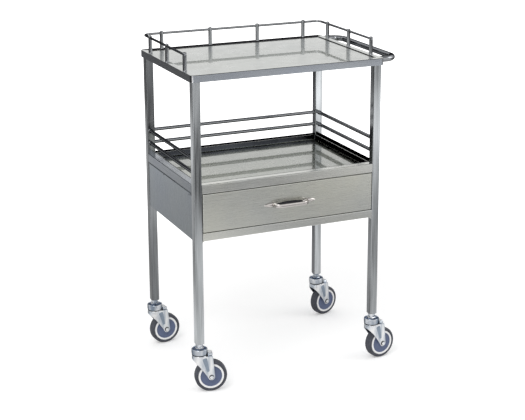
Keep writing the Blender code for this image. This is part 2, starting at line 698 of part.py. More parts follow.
    rim = HUB_RIM_WIDTH / 2
    boss = HUB_WIDTH / 2
    disc = rim - HUB_DISH
    face = [(AXLE_RADIUS + RUNNING_FIT, boss), (HUB_BOSS_RADIUS, boss)]
    face += [(HUB_BOSS_RADIUS + HUB_DISH / 2, disc)]
    face += [(HUB_RING_INNER - HUB_DISH / 2, disc), (HUB_RING_INNER, rim), (TYRE_INNER_RADIUS, rim)]
    face += [(radius, -height) for radius, height in reversed(face)]
    hub = turned(f"castor_{label}_hub", face, WHEEL_STEPS, closed=True)
    as_part(hub, HUB_PLASTIC)
    for piece in (axle, tyre, hub):
        piece.parent = pivot
        piece.location = eye
        piece.rotation_euler.x = math.pi / 2


def make_castors():
    for label, swivel in CASTOR_SWIVEL.items():
        x = (1 if "right" in label else -1) * (LEG_X - TUBE / 2)
        y = (1 if "back" in label else -1) * (LEG_Y - TUBE / 2)
        make_castor(label, x, y, swivel)


def stand_over_origin():
    """Carries the whole trolley on one empty, so that its outside box's middle stands over the origin."""
    trolley = empty("trolley", (0, 0, 0))
    for piece in list(parts.objects) + list(cutters.objects):
        if piece.parent is None and piece is not trolley:
            piece.parent = trolley
    bpy.context.view_layer.update()
    graph = bpy.context.evaluated_depsgraph_get()
    points = []
    for piece in parts.objects:
        if piece.type == "EMPTY":
            continue
        evaluated = piece.evaluated_get(graph)
        points += [evaluated.matrix_world @ vertex.co for vertex in evaluated.to_mesh().vertices]
        evaluated.to_mesh_clear()
    for axis in (0, 1):
        reach = [point[axis] for point in points]
        trolley.location[axis] = -(min(reach) + max(reach)) / 2


make_top_deck()
make_guard_rail()
make_push_handle()
make_legs()
make_lower_shelf()
make_cabinet()
make_drawer()
make_castors()
stand_over_origin()
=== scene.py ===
"""Looks of the instrument trolley: stainless frame and decks, bright rails, a drawer and four castors.

Sizes and places come from the frame's CAD nodes and joints. The values named here are the detail on top
of them, such as edges, bends and beads, and the studio. Lengths are in metres.
"""
import json
import math

import bmesh
import bpy
from mathutils import Matrix, Vector


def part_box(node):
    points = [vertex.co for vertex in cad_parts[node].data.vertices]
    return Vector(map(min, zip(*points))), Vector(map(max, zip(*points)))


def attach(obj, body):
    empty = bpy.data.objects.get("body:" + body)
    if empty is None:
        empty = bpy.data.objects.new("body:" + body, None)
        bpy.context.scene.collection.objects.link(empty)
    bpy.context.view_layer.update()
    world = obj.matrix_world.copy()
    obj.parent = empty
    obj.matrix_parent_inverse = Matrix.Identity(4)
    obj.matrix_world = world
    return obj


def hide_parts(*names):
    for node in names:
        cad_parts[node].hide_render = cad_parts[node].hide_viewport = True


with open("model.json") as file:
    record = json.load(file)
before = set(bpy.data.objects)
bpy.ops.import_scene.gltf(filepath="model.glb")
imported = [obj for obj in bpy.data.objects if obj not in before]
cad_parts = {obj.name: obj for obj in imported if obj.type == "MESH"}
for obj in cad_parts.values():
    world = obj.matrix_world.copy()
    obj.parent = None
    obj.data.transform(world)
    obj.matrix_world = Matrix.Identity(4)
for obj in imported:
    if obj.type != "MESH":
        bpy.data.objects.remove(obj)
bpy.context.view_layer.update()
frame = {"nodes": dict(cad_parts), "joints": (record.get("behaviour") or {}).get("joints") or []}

CORNERS = ("front_left", "front_right", "back_left", "back_right")
SHEET = 0.0012  # folded sheet and tube walls
SMOOTH_BELOW = math.radians(38)
QUARTER = (0, 0.39, 0.79, 1.18, 1.57)  # a quarter turn in radians, in four steps
COARSE_QUARTER = (0, 0.5, 1.05, 1.57)  # and in three


def size_of(node):
    """The low corner, the high corner and the middle of a CAD node's box."""
    low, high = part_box(node)
    return Vector(low), Vector(high), (Vector(low) + Vector(high)) / 2


def joint(name):
    return next(entry for entry in frame["joints"] if entry["name"] == name)


def linked(name, data):
    """A new object in the scene with this data."""
    made = bpy.data.objects.new(name, data)
    bpy.context.scene.collection.objects.link(made)
    return made


def aim(made, place, direction):
    """Puts a light or the camera somewhere, looking this way."""
    made.location = place
    made.rotation_mode = "QUATERNION"
    made.rotation_quaternion = direction.to_track_quat("-Z", "Y")


# Material nodes

NOISE_LOW, NOISE_HIGH = 0.3, 0.7  # the range that a noise texture mostly fills
GRAIN_STRETCH = {"x": (0.008, 1, 1), "y": (1, 0.008, 1), "z": (1, 1, 0.008)}


def shader_of(tree):
    return tree.nodes["Principled BSDF"]


def principled(name, colour, roughness, metallic):
    """A Principled material with plain values, and its node tree."""
    made = bpy.data.materials.new(name)
    made.use_nodes = True
    shader = shader_of(made.node_tree)
    shader.inputs["Base Color"].default_value = (*colour, 1)
    shader.inputs["Roughness"].default_value = roughness
    shader.inputs["Metallic"].default_value = metallic
    return made, made.node_tree


def noise_at(tree, scale, detail, stretch=(1, 1, 1)):
    """A noise texture in object space, drawn out along the axes whose stretch is small."""
    coords = tree.nodes.new("ShaderNodeTexCoord")
    mapping = tree.nodes.new("ShaderNodeMapping")
    mapping.inputs["Scale"].default_value = stretch
    noise = tree.nodes.new("ShaderNodeTexNoise")
    noise.inputs["Scale"].default_value = scale
    noise.inputs["Detail"].default_value = detail
    tree.links.new(coords.outputs["Object"], mapping.inputs["Vector"])
    tree.links.new(mapping.outputs["Vector"], noise.inputs["Vector"])
    return noise.outputs["Fac"]


def remap(tree, value, low, high):
    """Spreads a noise value over the range from low to high."""
    spread = tree.nodes.new("ShaderNodeMapRange")
    spread.inputs["From Min"].default_value = NOISE_LOW
    spread.inputs["From Max"].default_value = NOISE_HIGH
    spread.inputs["To Min"].default_value = low
    spread.inputs["To Max"].default_value = high
    tree.links.new(value, spread.inputs["Value"])
    return spread.outputs["Result"]


def combined(tree, operation, first, second):
    """One Math node over two values."""
    both = tree.nodes.new("ShaderNodeMath")
    both.operation = operation
    tree.links.new(first, both.inputs[0])
    tree.links.new(second, both.inputs[1])
    return both.outputs["Value"]


def tint(tree, value, low, high):
    """Shades the base colour from one tone to another."""
    mix = tree.nodes.new("ShaderNodeMix")
    mix.data_type = "RGBA"
    mix.inputs["A"].default_value = (*low, 1)
    mix.inputs["B"].default_value = (*high, 1)
    tree.links.new(remap(tree, value, 0, 1), mix.inputs["Factor"])
    tree.links.new(mix.outputs["Result"], shader_of(tree).inputs["Base Color"])


def vary_roughness(tree, value, low, high):
    tree.links.new(remap(tree, value, low, high), shader_of(tree).inputs["Roughness"])


def bump(tree, value, strength, distance):
    relief = tree.nodes.new("ShaderNodeBump")
    relief.inputs["Strength"].default_value = strength
    relief.inputs["Distance"].default_value = distance
    tree.links.new(value, relief.inputs["Height"])
    tree.links.new(relief.outputs["Normal"], shader_of(tree).inputs["Normal"])


def scaled(colour, factor):
    return tuple(min(1.0, channel * factor) for channel in colour)


# Finishes

def brushed_steel(name, colour, roughness, grain, metallic=1.0):
    """Satin stainless: fine grain drawn out along one axis, and slow cloudy changes of tone."""
    made, tree = principled(name, colour, roughness, metallic)
    lines = noise_at(tree, scale=1400, detail=2, stretch=GRAIN_STRETCH[grain])
    vary_roughness(tree, lines, low=roughness - 0.07, high=roughness + 0.08)
    bump(tree, lines, strength=0.05, distance=0.0002)
    clouds = noise_at(tree, scale=6, detail=4)
    cool = (colour[0] * 0.94, colour[1] * 0.96, colour[2] * 1.03)
    tint(tree, clouds, low=cool, high=scaled(colour, 1.05))
    return made


def streaked_steel(name, colour, roughness):
    """Drawn square tube, half polished: long soft streaks of tone down its length, partly polish marks and
    partly painted reflections of the studio.
    """
    made, tree = principled(name, colour, roughness, metallic=1.0)
    broad = noise_at(tree, scale=55, detail=2, stretch=(1, 1, 0.06))
    fine = noise_at(tree, scale=300, detail=3, stretch=(1, 1, 0.03))
    wide_streaks = remap(tree, broad, 0.0, 0.35)
    thin_streaks = remap(tree, fine, 0.25, 0.45)
    streaks = combined(tree, "ADD", wide_streaks, thin_streaks)
    tint(tree, streaks, low=scaled(colour, 0.58), high=scaled(colour, 1.36))
    vary_roughness(tree, fine, low=roughness - 0.05, high=roughness + 0.07)
    bump(tree, broad, strength=0.12, distance=0.0006)
    return made


def hazy_steel(name, colour, roughness, gloss, cloud):
    """Used stainless sheet: a clear reflection over a soft haze, with clouded tone."""
    made, tree = principled(name, colour, roughness, metallic=1.0)
    shader = shader_of(tree)
    shader.inputs["Coat Weight"].default_value = 1.0
    shader.inputs["Coat IOR"].default_value = gloss
    shader.inputs["Coat Roughness"].default_value = 0.035
    dents = noise_at(tree, scale=9, detail=1)
    bump(tree, dents, strength=0.01, distance=0.004)
    haze = noise_at(tree, scale=30, detail=4)
    vary_roughness(tree, haze, low=roughness * 0.85, high=roughness * 1.2)
    tone = noise_at(tree, scale=7, detail=2)
    cool = (colour[0] * (1 - cloud), colour[1] * (1 - cloud * 0.7), colour[2] * (1 - cloud * 0.2))
    tint(tree, tone, low=cool, high=scaled(colour, 1 + cloud))
    return made


def polished_steel(name, colour, roughness, ripple, cloud=0.03, edge=1.0):
    """Bright stainless sheet or rod, faintly rippled, darker at a slant where the edge is low."""
    made, tree = principled(name, colour, roughness, metallic=1.0)
    shader_of(tree).inputs["Specular Tint"].default_value = (edge, edge, edge, 1)
    dents = noise_at(tree, scale=9, detail=1)
    bump(tree, dents, strength=ripple, distance=0.004)
    haze = noise_at(tree, scale=22, detail=4)
    vary_roughness(tree, haze, low=roughness * 0.8, high=roughness * 1.5)
    tone = noise_at(tree, scale=6, detail=4)
    tint(tree, tone, low=scaled(colour, 1 - cloud), high=scaled(colour, 1 + cloud))
    return made


def zinc_plate(name, dim, bright):
    """Bright zinc on pressed steel: smooth, a little bluish, with soft streaks of painted reflection from dim
    to bright.
    """
    made, tree = principled(name, bright, roughness=0.16, metallic=1.0)
    mottle = noise_at(tree, scale=130, detail=4)
    vary_roughness(tree, mottle, low=0.10, high=0.20)
    streaks = noise_at(tree, scale=60, detail=1, stretch=(1, 1, 0.35))
    tint(tree, streaks, low=dim, high=bright)
    bump(tree, mottle, strength=0.05, distance=0.0003)
    shader_of(tree).inputs["Specular Tint"].default_value = (0.1, 0.1, 0.1, 1)
    return made


def rubber(name, colour):
    """Moulded rubber: matt, with a fine grit and a slightly uneven tone."""
    made, tree = principled(name, colour, roughness=0.62, metallic=0.0)
    grit = noise_at(tree, scale=900, detail=4)
    vary_roughness(tree, grit, low=0.5, high=0.75)
    wear = noise_at(tree, scale=90, detail=4)
    tint(tree, wear, low=scaled(colour, 0.8), high=scaled(colour, 1.3))
    bump(tree, grit, strength=0.25, distance=0.0003)
    return made


def plastic(name, colour, roughness):
    """Moulded plastic with a fine, soft grain."""
    made, tree = principled(name, colour, roughness, metallic=0.0)
    grain = noise_at(tree, scale=1300, detail=2)
    vary_roughness(tree, grain, low=roughness - 0.06, high=roughness + 0.08)
    tone = noise_at(tree, scale=40, detail=2)
    tint(tree, tone, low=scaled(colour, 0.93), high=scaled(colour, 1.07))
    bump(tree, grain, strength=0.08, distance=0.0002)
    return made


def studio_board(name, glow=0.0):
    """Matt dark board for the studio's cards, which may glow a little."""
    made = plastic(name, (0.05, 0.05, 0.055), roughness=0.9)
    shader = shader_of(made.node_tree)
    shader.inputs["Emission Color"].default_value = (1, 1, 1, 1)
    shader.inputs["Emission Strength"].default_value = glow
    return made


# Square tube
# The two darker leg steels are copies for painted shade: the leg faces and the whole leg that reflect the
# dark studio.
LEG = streaked_steel("leg_steel", (0.45, 0.47, 0.485), 0.12)
LEG_PAINTED_SHADE = streaked_steel("leg_painted_shade_steel", (0.26, 0.27, 0.28), 0.12)
LEG_PAINTED_DARK = streaked_steel("leg_painted_dark_steel", (0.13, 0.135, 0.145), 0.14)
STEEL_X = brushed_steel("satin_steel_x", (0.60, 0.60, 0.56), 0.24, grain="x")
# The rails running front to back get a darker copy of the satin steel: painted shade on their side faces.
STEEL_Y_PAINTED_SHADE = brushed_steel("satin_steel_y_painted_shade", (0.31, 0.33, 0.35), 0.24, grain="y")
# A lighter copy of the satin steel: painted highlight on the bottom rails, their fillets and the top of the
# front shelf rail.
PAINTED_BRIGHT_X = brushed_steel("painted_highlight_steel_x", (0.64, 0.64, 0.59), 0.22, grain="x")

# Cabinet and drawer
# The side panels get a darker, bluish copy of the stainless: painted shade on the faces that look left and
# right.
PANEL_PAINTED_SHADE = brushed_steel("panel_painted_shade_steel", (0.36, 0.39, 0.41), 0.26, grain="z")
DRAWER = brushed_steel("drawer_steel", (0.60, 0.60, 0.54), 0.28, grain="x")
BOX_STEEL = brushed_steel("drawer_box_steel", (0.46, 0.465, 0.45), 0.42, grain="x", metallic=0.55)
PULL = polished_steel("pull_steel", (0.62, 0.59, 0.57), 0.12, ripple=0.02, edge=0.0)

# Deck, tray and rods
RIM = brushed_steel("rim_steel", (0.44, 0.465, 0.495), 0.17, grain="x")
RIM_PAINTED_SHADE = brushed_steel("rim_painted_shade_steel", (0.20, 0.21, 0.22), 0.20, grain="y")
RIM_CORNER_PAINTED_HIGHLIGHT = polished_steel("rim_corner_painted_highlight", (0.93, 0.94, 0.96), 0.10, ripple=0.01)
BACK_BAND_PAINTED_SHADE = polished_steel("back_band_painted_shade", (0.085, 0.088, 0.10), 0.15, ripple=0.02, cloud=0.3, edge=0.0)
DECK = hazy_steel("polished_deck", (0.325, 0.345, 0.308), 0.30, gloss=1.50, cloud=0.07)
TRAY = hazy_steel("polished_tray", (0.235, 0.250, 0.200), 0.26, gloss=1.62, cloud=0.08)
# Painted shade: dark copies of the steel for the tray's upstands and the tops of the back and right shelf
# rails, deepest on the tray's left and right upstands and the right rail's top.
UPSTAND_PAINTED_SHADE = polished_steel("upstand_painted_shade", (0.075, 0.08, 0.095), 0.20, ripple=0.05, cloud=0.35, edge=0.0)
UPSTAND_PAINTED_DEEP_SHADE = polished_steel("upstand_painted_deep_shade", (0.022, 0.022, 0.024), 0.20, ripple=0.05, cloud=0.3, edge=0.0)
BRIGHT = polished_steel("bright_rod", (0.34, 0.350, 0.365), 0.09, ripple=0.02, edge=0.0)
# Painted shade: dark steel for the deck's step, the corner lines, the race, the washers, the cup's lower edge
# and the pull's plate; the panel's two dots use it too.
SHADOW = polished_steel("dark_steel", (0.05, 0.05, 0.055), 0.35, ripple=0.02)

# Castors
ZINC = zinc_plate("zinc_plate", dim=(0.44, 0.50, 0.58), bright=(1.0, 1.0, 1.0))
# A darker copy of the zinc for the swivel head: painted shade, with the same painted streaks.
CUP_PAINTED_SHADE = zinc_plate("cup_zinc_painted_shade", dim=(0.26, 0.31, 0.38), bright=(0.82, 0.84, 0.87))
# A darker zinc for the ribs: a painted shade stripe down each cheek.
RIB_PAINTED_SHADE = polished_steel("rib_painted_shade_zinc", (0.30, 0.355, 0.43), 0.20, ripple=0.03, cloud=0.12, edge=0.3)
RECESS_PAINTED_SHADE = polished_steel("recess_painted_shade_steel", (0.16, 0.20, 0.28), 0.25, ripple=0.05, cloud=0.2)
TYRE = rubber("grey_rubber", (0.052, 0.056, 0.072))
HUB = plastic("hub_plastic", (0.105, 0.135, 0.235), 0.38)
RING = plastic("white_ring", (0.96, 0.96, 0.965), 0.30)

# Studio
DARK_CARD = studio_board("dark_card")
CEILING_CARD = studio_board("ceiling_card", glow=0.38)


# Mesh helpers

def finished(name, work, material, smooth=True):
    """The bmesh as a linked object with this material."""
    bmesh.ops.recalc_face_normals(work, faces=work.faces)
    mesh = bpy.data.meshes.new(name)
    work.to_mesh(mesh)
    work.free()
    if smooth:
        mesh.shade_smooth()
        mesh.set_sharp_from_angle(angle=SMOOTH_BELOW)
    made = linked(name, mesh)
    mesh.materials.append(material)
    if smooth:
        flat = made.modifiers.new("flat_faces", "WEIGHTED_NORMAL")
        flat.keep_sharp = True
        flat.weight = 100
    return made


def repaint(piece, choose):
    """Gives each face the material that choose(normal, centre) returns; None leaves it as it is."""
    materials = piece.data.materials
    for face in piece.data.polygons:
        material = choose(face.normal, face.center)
        if material is None:
            continue
        if material.name not in materials:
            materials.append(material)
        face.material_index = materials.find(material.name)


def settle(piece, body, slot, *nodes, place=None):
    """Rides the piece on its body, in place of the nodes named. The slot is not used."""
    if place is not None:
        piece.matrix_world = place
    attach(piece, body)
    if nodes:
        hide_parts(*nodes)


def skin(work, rings, loop=False):
    """Quads from each ring of points to the next; the ends are capped unless the rings form a loop."""
    made = [[work.verts.new(point) for point in ring] for ring in rings]
    pairs = list(zip(made, made[1:]))
    if loop:
        pairs.append((made[-1], made[0]))
    for first, second in pairs:
        for i in range(len(first)):
            j = (i + 1) % len(first)
            work.faces.new((first[i], first[j], second[j], second[i]))
    if not loop:
        work.faces.new(made[0])
        work.faces.new(made[-1])
    return work


def skinned(name, rings, material, loop=False):
    """A piece skinned over rings of points."""
    return finished(name, skin(bmesh.new(), rings, loop), material)


def arc(centre, radius, start, end, steps):
    """Points on an arc from one angle to another, in degrees."""
    turns = [math.radians(start + (end - start) * i / steps) for i in range(steps + 1)]
    return [(centre[0] + radius * math.cos(turn), centre[1] + radius * math.sin(turn)) for turn in turns]


def circle(radius, height, sides):
    """A ring of points about z."""
    turns = [2 * math.pi * i / sides for i in range(sides)]
    return [(radius * math.cos(turn), radius * math.sin(turn), height) for turn in turns]


def rounded_rectangle(half_x, half_y, radius, steps):
    """The outline about the origin; even its sharpest corner keeps a tiny radius."""
    radius = max(radius, 0.0002)
    x, y = half_x - radius, half_y - radius
    corners = ((x, y, 0), (-x, y, 90), (-x, -y, 180), (x, -y, 270))
    return [point for cx, cy, start in corners for point in arc((cx, cy), radius, start, start + 90, steps)]


def rectangle_loft(box, corner, profile, steps=5):
    """Rings of a box's outline seen from above, with round corners: each profile entry is (inset, height)."""
    low, high, middle = box
    half_x, half_y = (high.x - low.x) / 2, (high.y - low.y) / 2
    rings = []
    for inset, height in profile:
        outline = rounded_rectangle(half_x - inset, half_y - inset, corner - inset, steps)
        rings.append([(middle.x + x, middle.y + y, height) for x, y in outline])
    return rings


def floor_bend(floor, bend):
    """The inside bend from a sheet's wall down to its floor, as (inset, height)."""
    return [(SHEET + bend - bend * math.cos(a), floor + bend - bend * math.sin(a)) for a in COARSE_QUARTER]


def rounded_edge(radius):
    """A quarter round as (inset, drop), from the side of a sheet up to its face."""
    return [(radius - radius * math.cos(a), radius - radius * math.sin(a)) for a in QUARTER]


def turned(name, profile, sides, material, loop=False, matrix=None):
    """A (radius, height) profile turned about z."""
    work = skin(bmesh.new(), [circle(radius, height, sides) for radius, height in profile], loop)
    if matrix is not None:
        bmesh.ops.transform(work, matrix=matrix, verts=work.verts)
    return finished(name, work, material)


def both_sides(profile):
    """A (radius, height) profile joined to its mirror image below z = 0."""
    return profile + [(radius, -height) for radius, height in reversed(profile)]


def heading(path, i):
    """The direction of a path at one of its points."""
    return (path[min(i + 1, len(path) - 1)] - path[max(i - 1, 0)]).normalized()


def tube_rings(path, radii, sides):
    """Circles set square across a path, with a radius for each point."""
    turns = [2 * math.pi * i / sides for i in range(sides)]
    side = heading(path, 0).orthogonal().normalized()
    rings = []
    for i, (here, radius) in enumerate(zip(path, radii)):
        ahead = heading(path, i)
        side = (side - ahead * side.dot(ahead)).normalized()
        up = ahead.cross(side)
        rings.append([here + radius * (side * math.cos(turn) + up * math.sin(turn)) for turn in turns])
    return rings


def bent_path(corners, bend, steps):
    """The path through these corners, each rounded to the bend's radius."""
    corners = [Vector(corner) for corner in corners]
    path = [corners[0]]
    for before, here, after in zip(corners, corners[1:], corners[2:]):
        back = (before - here).normalized()
        ahead = (after - here).normalized()
        half = back.angle(ahead) / 2
        centre = here + (back + ahead).normalized() * bend / math.sin(half)
        spokes = [here + way * bend / math.tan(half) - centre for way in (back, ahead)]
        path += [centre + spokes[0].slerp(spokes[1], i / steps).normalized() * bend for i in range(steps + 1)]
    return path + [corners[-1]]


def rounded_block(work, low, high, radius, steps):
    """A box with every edge rounded, added to the bmesh."""
    low, high = Vector(low), Vector(high)
    made = bmesh.ops.create_cube(work, size=1.0)["verts"]
    bmesh.ops.scale(work, vec=high - low, verts=made)
    bmesh.ops.translate(work, vec=(low + high) / 2, verts=made)
    edges = list({edge for vert in made for edge in vert.link_edges})
    bmesh.ops.bevel(work, geom=edges, offset=radius, segments=steps, profile=0.5, affect="EDGES")


# Frame of square tube

TUBE_CORNER = 0.0022
ACROSS_AND_ALONG = {"x": (1, 2, 0), "y": (0, 2, 1), "z": (0, 1, 2)}
FILLET_RADIUS = 0.0055
FILLET_STEPS = 8
FILLET_INSET = 0.0015  # from the rail's front and back faces
FILLET_ROOT = 0.0004  # how far a fillet reaches up into the rail


def square_tube(name, node, axis, material, top=None, left=None):
    """A hollow square tube, open at both ends; its top or left face may have its own material, for painted
    highlight and painted shade.
    """
    low, high, middle = size_of(node)
    u, v, w = ACROSS_AND_ALONG[axis]
    half_u, half_v = (high[u] - low[u]) / 2, (high[v] - low[v]) / 2
    rings = []
    for inset, along in ((0, low[w]), (0, high[w]), (SHEET, high[w]), (SHEET, low[w])):
        ring = []
        for a, b in rounded_rectangle(half_u - inset, half_v - inset, TUBE_CORNER - inset, 5):
            point = Vector((0, 0, 0))
            point[u], point[v], point[w] = middle[u] + a, middle[v] + b, along
            ring.append(point)
        rings.append(ring)
    tube = skinned(name, rings, material, loop=True)

    def face_material(normal, centre):
        if normal.x < -0.8:
            return left
        return top if normal.z > 0.5 and centre.z > middle.z else None

    repaint(tube, face_material)
    settle(tube, "frame", "satin_steel", node)


def make_frame():
    """The legs and rails. Darker steel stands for the dark reflections that some of their faces carry."""
    leg_lefts = {"front_right": LEG_PAINTED_SHADE, "back_right": LEG_PAINTED_DARK}
    for corner in CORNERS:
        main = LEG_PAINTED_SHADE if corner == "back_left" else LEG
        square_tube(f"leg_tube_{corner}", f"leg_{corner}", "z", main, left=leg_lefts.get(corner))
    for side, top in (("front", PAINTED_BRIGHT_X), ("back", UPSTAND_PAINTED_SHADE)):
        square_tube(f"shelf_tube_{side}", f"shelf_rail_{side}", "x", STEEL_X, top)
        square_tube(f"bottom_tube_{side}", f"bottom_rail_{side}", "x", PAINTED_BRIGHT_X)
    for side, top in (("left", None), ("right", UPSTAND_PAINTED_DEEP_SHADE)):
        square_tube(f"shelf_tube_{side}", f"shelf_rail_{side}", "y", STEEL_Y_PAINTED_SHADE, top)


def make_fillets():
    """Small curved weld fillets in the corners under the front bottom rail."""
    low, high, _ = size_of("bottom_rail_front")
    root = low.z + FILLET_ROOT
    left_leg, right_leg = size_of("leg_front_left")[1].x, size_of("leg_front_right")[0].x
    for label, x, way in (("left", left_leg, 1), ("right", right_leg, -1)):
        profile = [(x, root)]
        for step in range(FILLET_STEPS + 1):
            turn = math.radians(90 * step / FILLET_STEPS)
            across = x + way * FILLET_RADIUS * (1 - math.cos(turn))
            profile.append((across, low.z - FILLET_RADIUS * (1 - math.sin(turn))))
        profile.append((x + way * FILLET_RADIUS, root))
        rings = [[(a, y, b) for a, b in profile] for y in (low.y + FILLET_INSET, high.y - FILLET_INSET)]
        fillet = skinned(f"fillet_{label}", rings, PAINTED_BRIGHT_X)
        settle(fillet, "frame", "satin_steel")


# Top deck, guard rail and push handle

DECK_CORNER = 0.010
DECK_BAND = 0.018  # the flat band along the edge
DECK_STEP = 0.0025  # from the band down to the deck
DECK_MARGIN = 0.03  # from the step to the flat middle
DECK_LIP = 0.0045  # turned in under the rim
RIM_EDGE = 0.0012  # the round between band and rim
RAIL_BEND = 0.020
RAIL_GROWTH = 1.15  # the drawn thickness against the solid's
RAIL_END = 0.0008  # the length of its rounded ends
POST_GROWTH = 1.20
HANDLE_BEND = 0.036
HANDLE_GROWTH = 1.12


def deck_profile(top, base):
    """The sheet's section as (inset, height): out along its underside to the lip, and back over the rim."""
    under = top - DECK_STEP - SHEET
    inside = [(DECK_BAND + DECK_MARGIN, under), (DECK_BAND - SHEET, under)]
    inside += [(DECK_BAND - SHEET * 1.4, top - SHEET), (RIM_EDGE + SHEET, top - SHEET)]
    inside += [(SHEET, top - RIM_EDGE - SHEET)]
    inside += [(SHEET, base + SHEET), (DECK_LIP, base + SHEET)]
    hem = RIM_EDGE * 0.4
    outside = [(DECK_LIP, base), (hem, base), (0, base + hem)]
    outside += [(inset, top - drop) for inset, drop in rounded_edge(RIM_EDGE)]
    outside += [(DECK_BAND - 0.0012, top), (DECK_BAND - 0.0005, top - 0.0003)]
    outside += [(DECK_BAND, top - DECK_STEP + 0.0004), (DECK_BAND + 0.0006, top - DECK_STEP)]
    outside += [(DECK_BAND + DECK_MARGIN, top - DECK_STEP)]
    return inside + outside


def make_top():
    """The pressed top deck: rim, flat band and shallow step, each in the tone that it reflects: painted shade
    on the rim's sides, the step and the back band, and a painted dark line and a painted highlight at the
    round corners.
    """
    box = size_of("top_deck")
    low, high, _ = box
    rings = rectangle_loft(box, DECK_CORNER, deck_profile(high.z, low.z))
    deck = skinned("deck_sheet", rings, RIM)

    def face_material(normal, centre):
        across, upright = abs(normal.x), abs(normal.z) < 0.3
        if normal.z > 0.9 and centre.z > low.z + DECK_STEP:
            # The band along the back is painted dark: painted shade.
            on_back_band = centre.y > high.y - DECK_BAND and centre.z > high.z - DECK_STEP / 2
            return BACK_BAND_PAINTED_SHADE if on_back_band else DECK
        # The step down to the deck is painted dark: painted shade.
        if 0.05 < normal.z < 0.9 and high.z - DECK_STEP < centre.z < high.z - 0.0002:
            return SHADOW
        # The rim's left and right faces are painted darker: painted shade.
        if across > 0.95:
            return RIM_PAINTED_SHADE
        # At the round corners a painted dark line comes first, then a painted highlight.
        if across > 0.75 and upright:
            return SHADOW
        return RIM_CORNER_PAINTED_HIGHLIGHT if across > 0.30 and upright else None

    repaint(deck, face_material)
    settle(deck, "frame", "polished_steel", "top_deck")


def make_guard_rail():
    """One bent rod with rounded ends, and the posts that carry it."""
    low, high, middle = size_of("guard_rail")
    radius = (high.z - low.z) / 2
    left, right, back, z = low.x + radius, high.x - radius, high.y - radius, middle.z
    corners = [(left, low.y, z), (left, back, z), (right, back, z), (right, low.y, z)]
    path = bent_path(corners, RAIL_BEND, steps=10)
    first, last = path[0], path[-1]
    inward = Vector((0, 1, 0)) * RAIL_END
    full = radius * RAIL_GROWTH
    radii = [0.6 * full, 0.92 * full] + [full] * len(path[1:-1]) + [0.92 * full, 0.6 * full]
    path = [first, first + inward] + path[1:-1] + [last + inward, last]
    rail = skinned("guard_rail_rod", tube_rings(path, radii, sides=16), BRIGHT)
    settle(rail, "frame", "bright_steel", "guard_rail")
    for node in sorted(name for name in frame["nodes"] if name.startswith("guard_post_")):
        make_post(node)


def make_post(node):
    """A thin round post with a domed top and a small weld round its foot."""
    low, high, middle = size_of(node)
    r = (high.x - low.x) / 2 * POST_GROWTH
    dome = [(r * 0.25, high.z), (r * 0.6, high.z - 0.0004), (r * 0.88, high.z - 0.0013), (r, high.z - 0.0026)]
    foot = [(r, low.z + 0.0012), (r * 1.03, low.z + 0.0006), (r * 1.06, low.z + 0.0003), (r * 1.08, low.z)]
    at = Matrix.Translation((middle.x, middle.y, 0))
    post = turned(f"post_{node.removeprefix('guard_post_')}", dome + foot, 24, BRIGHT, matrix=at)
    settle(post, "frame", "bright_steel", node)


def make_push_handle():
    """A bent tube that leaves the rim, runs along the right side and comes back."""
    low, high, middle = size_of("push_handle")
    radius = (high.z - low.z) / 2 * HANDLE_GROWTH
    right, front, back, z = high.x - radius, low.y + radius, high.y - radius, middle.z
    corners = [(low.x, front, z), (right, front, z), (right, back, z), (low.x, back, z)]
    path = bent_path(corners, HANDLE_BEND, steps=12)
    handle = skinned("handle_tube", tube_rings(path, [radius] * len(path), sides=24), BRIGHT)
    settle(handle, "frame", "bright_steel", "push_handle")


# Lower shelf

TRAY_CORNER = 0.004
TRAY_BEND = 0.0035
ROD_GROWTH = 1.25
BEAD_LENGTH = 0.0022
BEAD_SHARES = (1.28, 1.15, 1, 1, 1.15, 1.28)  # the rod's thickness from one end to the other


def make_shelf():
    """The folded tray, its upstands darker than its floor: painted shade, deepest on its left and right
    upstands.
    """
    box = size_of("shelf_tray")
    low, high, _ = box
    profile = [(0.0015, low.z), (0.0, low.z + 0.002), (0.0, high.z), (SHEET, high.z)]
    profile += floor_bend(low.z + SHEET, TRAY_BEND)
    tray = skinned("shelf_sheet", rectangle_loft(box, TRAY_CORNER, profile), TRAY)

    def face_material(normal, centre):
        if abs(normal.x) > 0.7:
            return UPSTAND_PAINTED_DEEP_SHADE
        return UPSTAND_PAINTED_SHADE if normal.z < 0.3 else None

    repaint(tray, face_material)
    settle(tray, "frame", "polished_steel", "shelf_tray")


def make_shelf_rods():
    """Two rods on each of three sides, with a small weld bead at each end."""
    for side, axis in (("left", 1), ("back", 0), ("right", 1)):
        for level in ("lower", "upper"):
            node = f"shelf_rod_{side}_{level}"
            low, high, middle = size_of(node)
            radius = (high.z - low.z) / 2 * ROD_GROWTH
            start, end = middle.copy(), middle.copy()
            start[axis], end[axis] = low[axis], high[axis]
            bead = (end - start).normalized() * BEAD_LENGTH
            path = [start, start + bead / 2, start + bead, end - bead, end - bead / 2, end]
            rings = tube_rings(path, [radius * share for share in BEAD_SHARES], sides=20)
            rod = skinned(f"rod_{side}_{level}", rings, BRIGHT)
            settle(rod, "frame", "bright_steel", node)


# Cabinet and drawer

FRONT_EDGE = 0.0022
FRONT_CORNER = 0.0025
FRONT_FOLD = 0.014  # how far its folded edges reach in behind
BOX_CORNER = 0.006
BOX_BEND = 0.003
BOX_HEM = 0.0026  # thickness of the rolled upper edge
BOX_HEM_DEPTH = 0.0080
LEAF_LENGTH = 0.040
# (share of the leaf's outline, rise from the drawer's face)
LEAF_DOME = ((1, 0), (1, 0.0006), (0.92, 0.0016), (0.74, 0.0027), (0.45, 0.0036), (0.15, 0.0040))
GRIP_HALF = 0.050  # half the strap's length
STRAP_BEND = 0.018
STRAP_HALF_HEIGHT = 0.0055
STRAP_HALF_DEPTH = 0.00225
STRAP_ROOT = 0.001
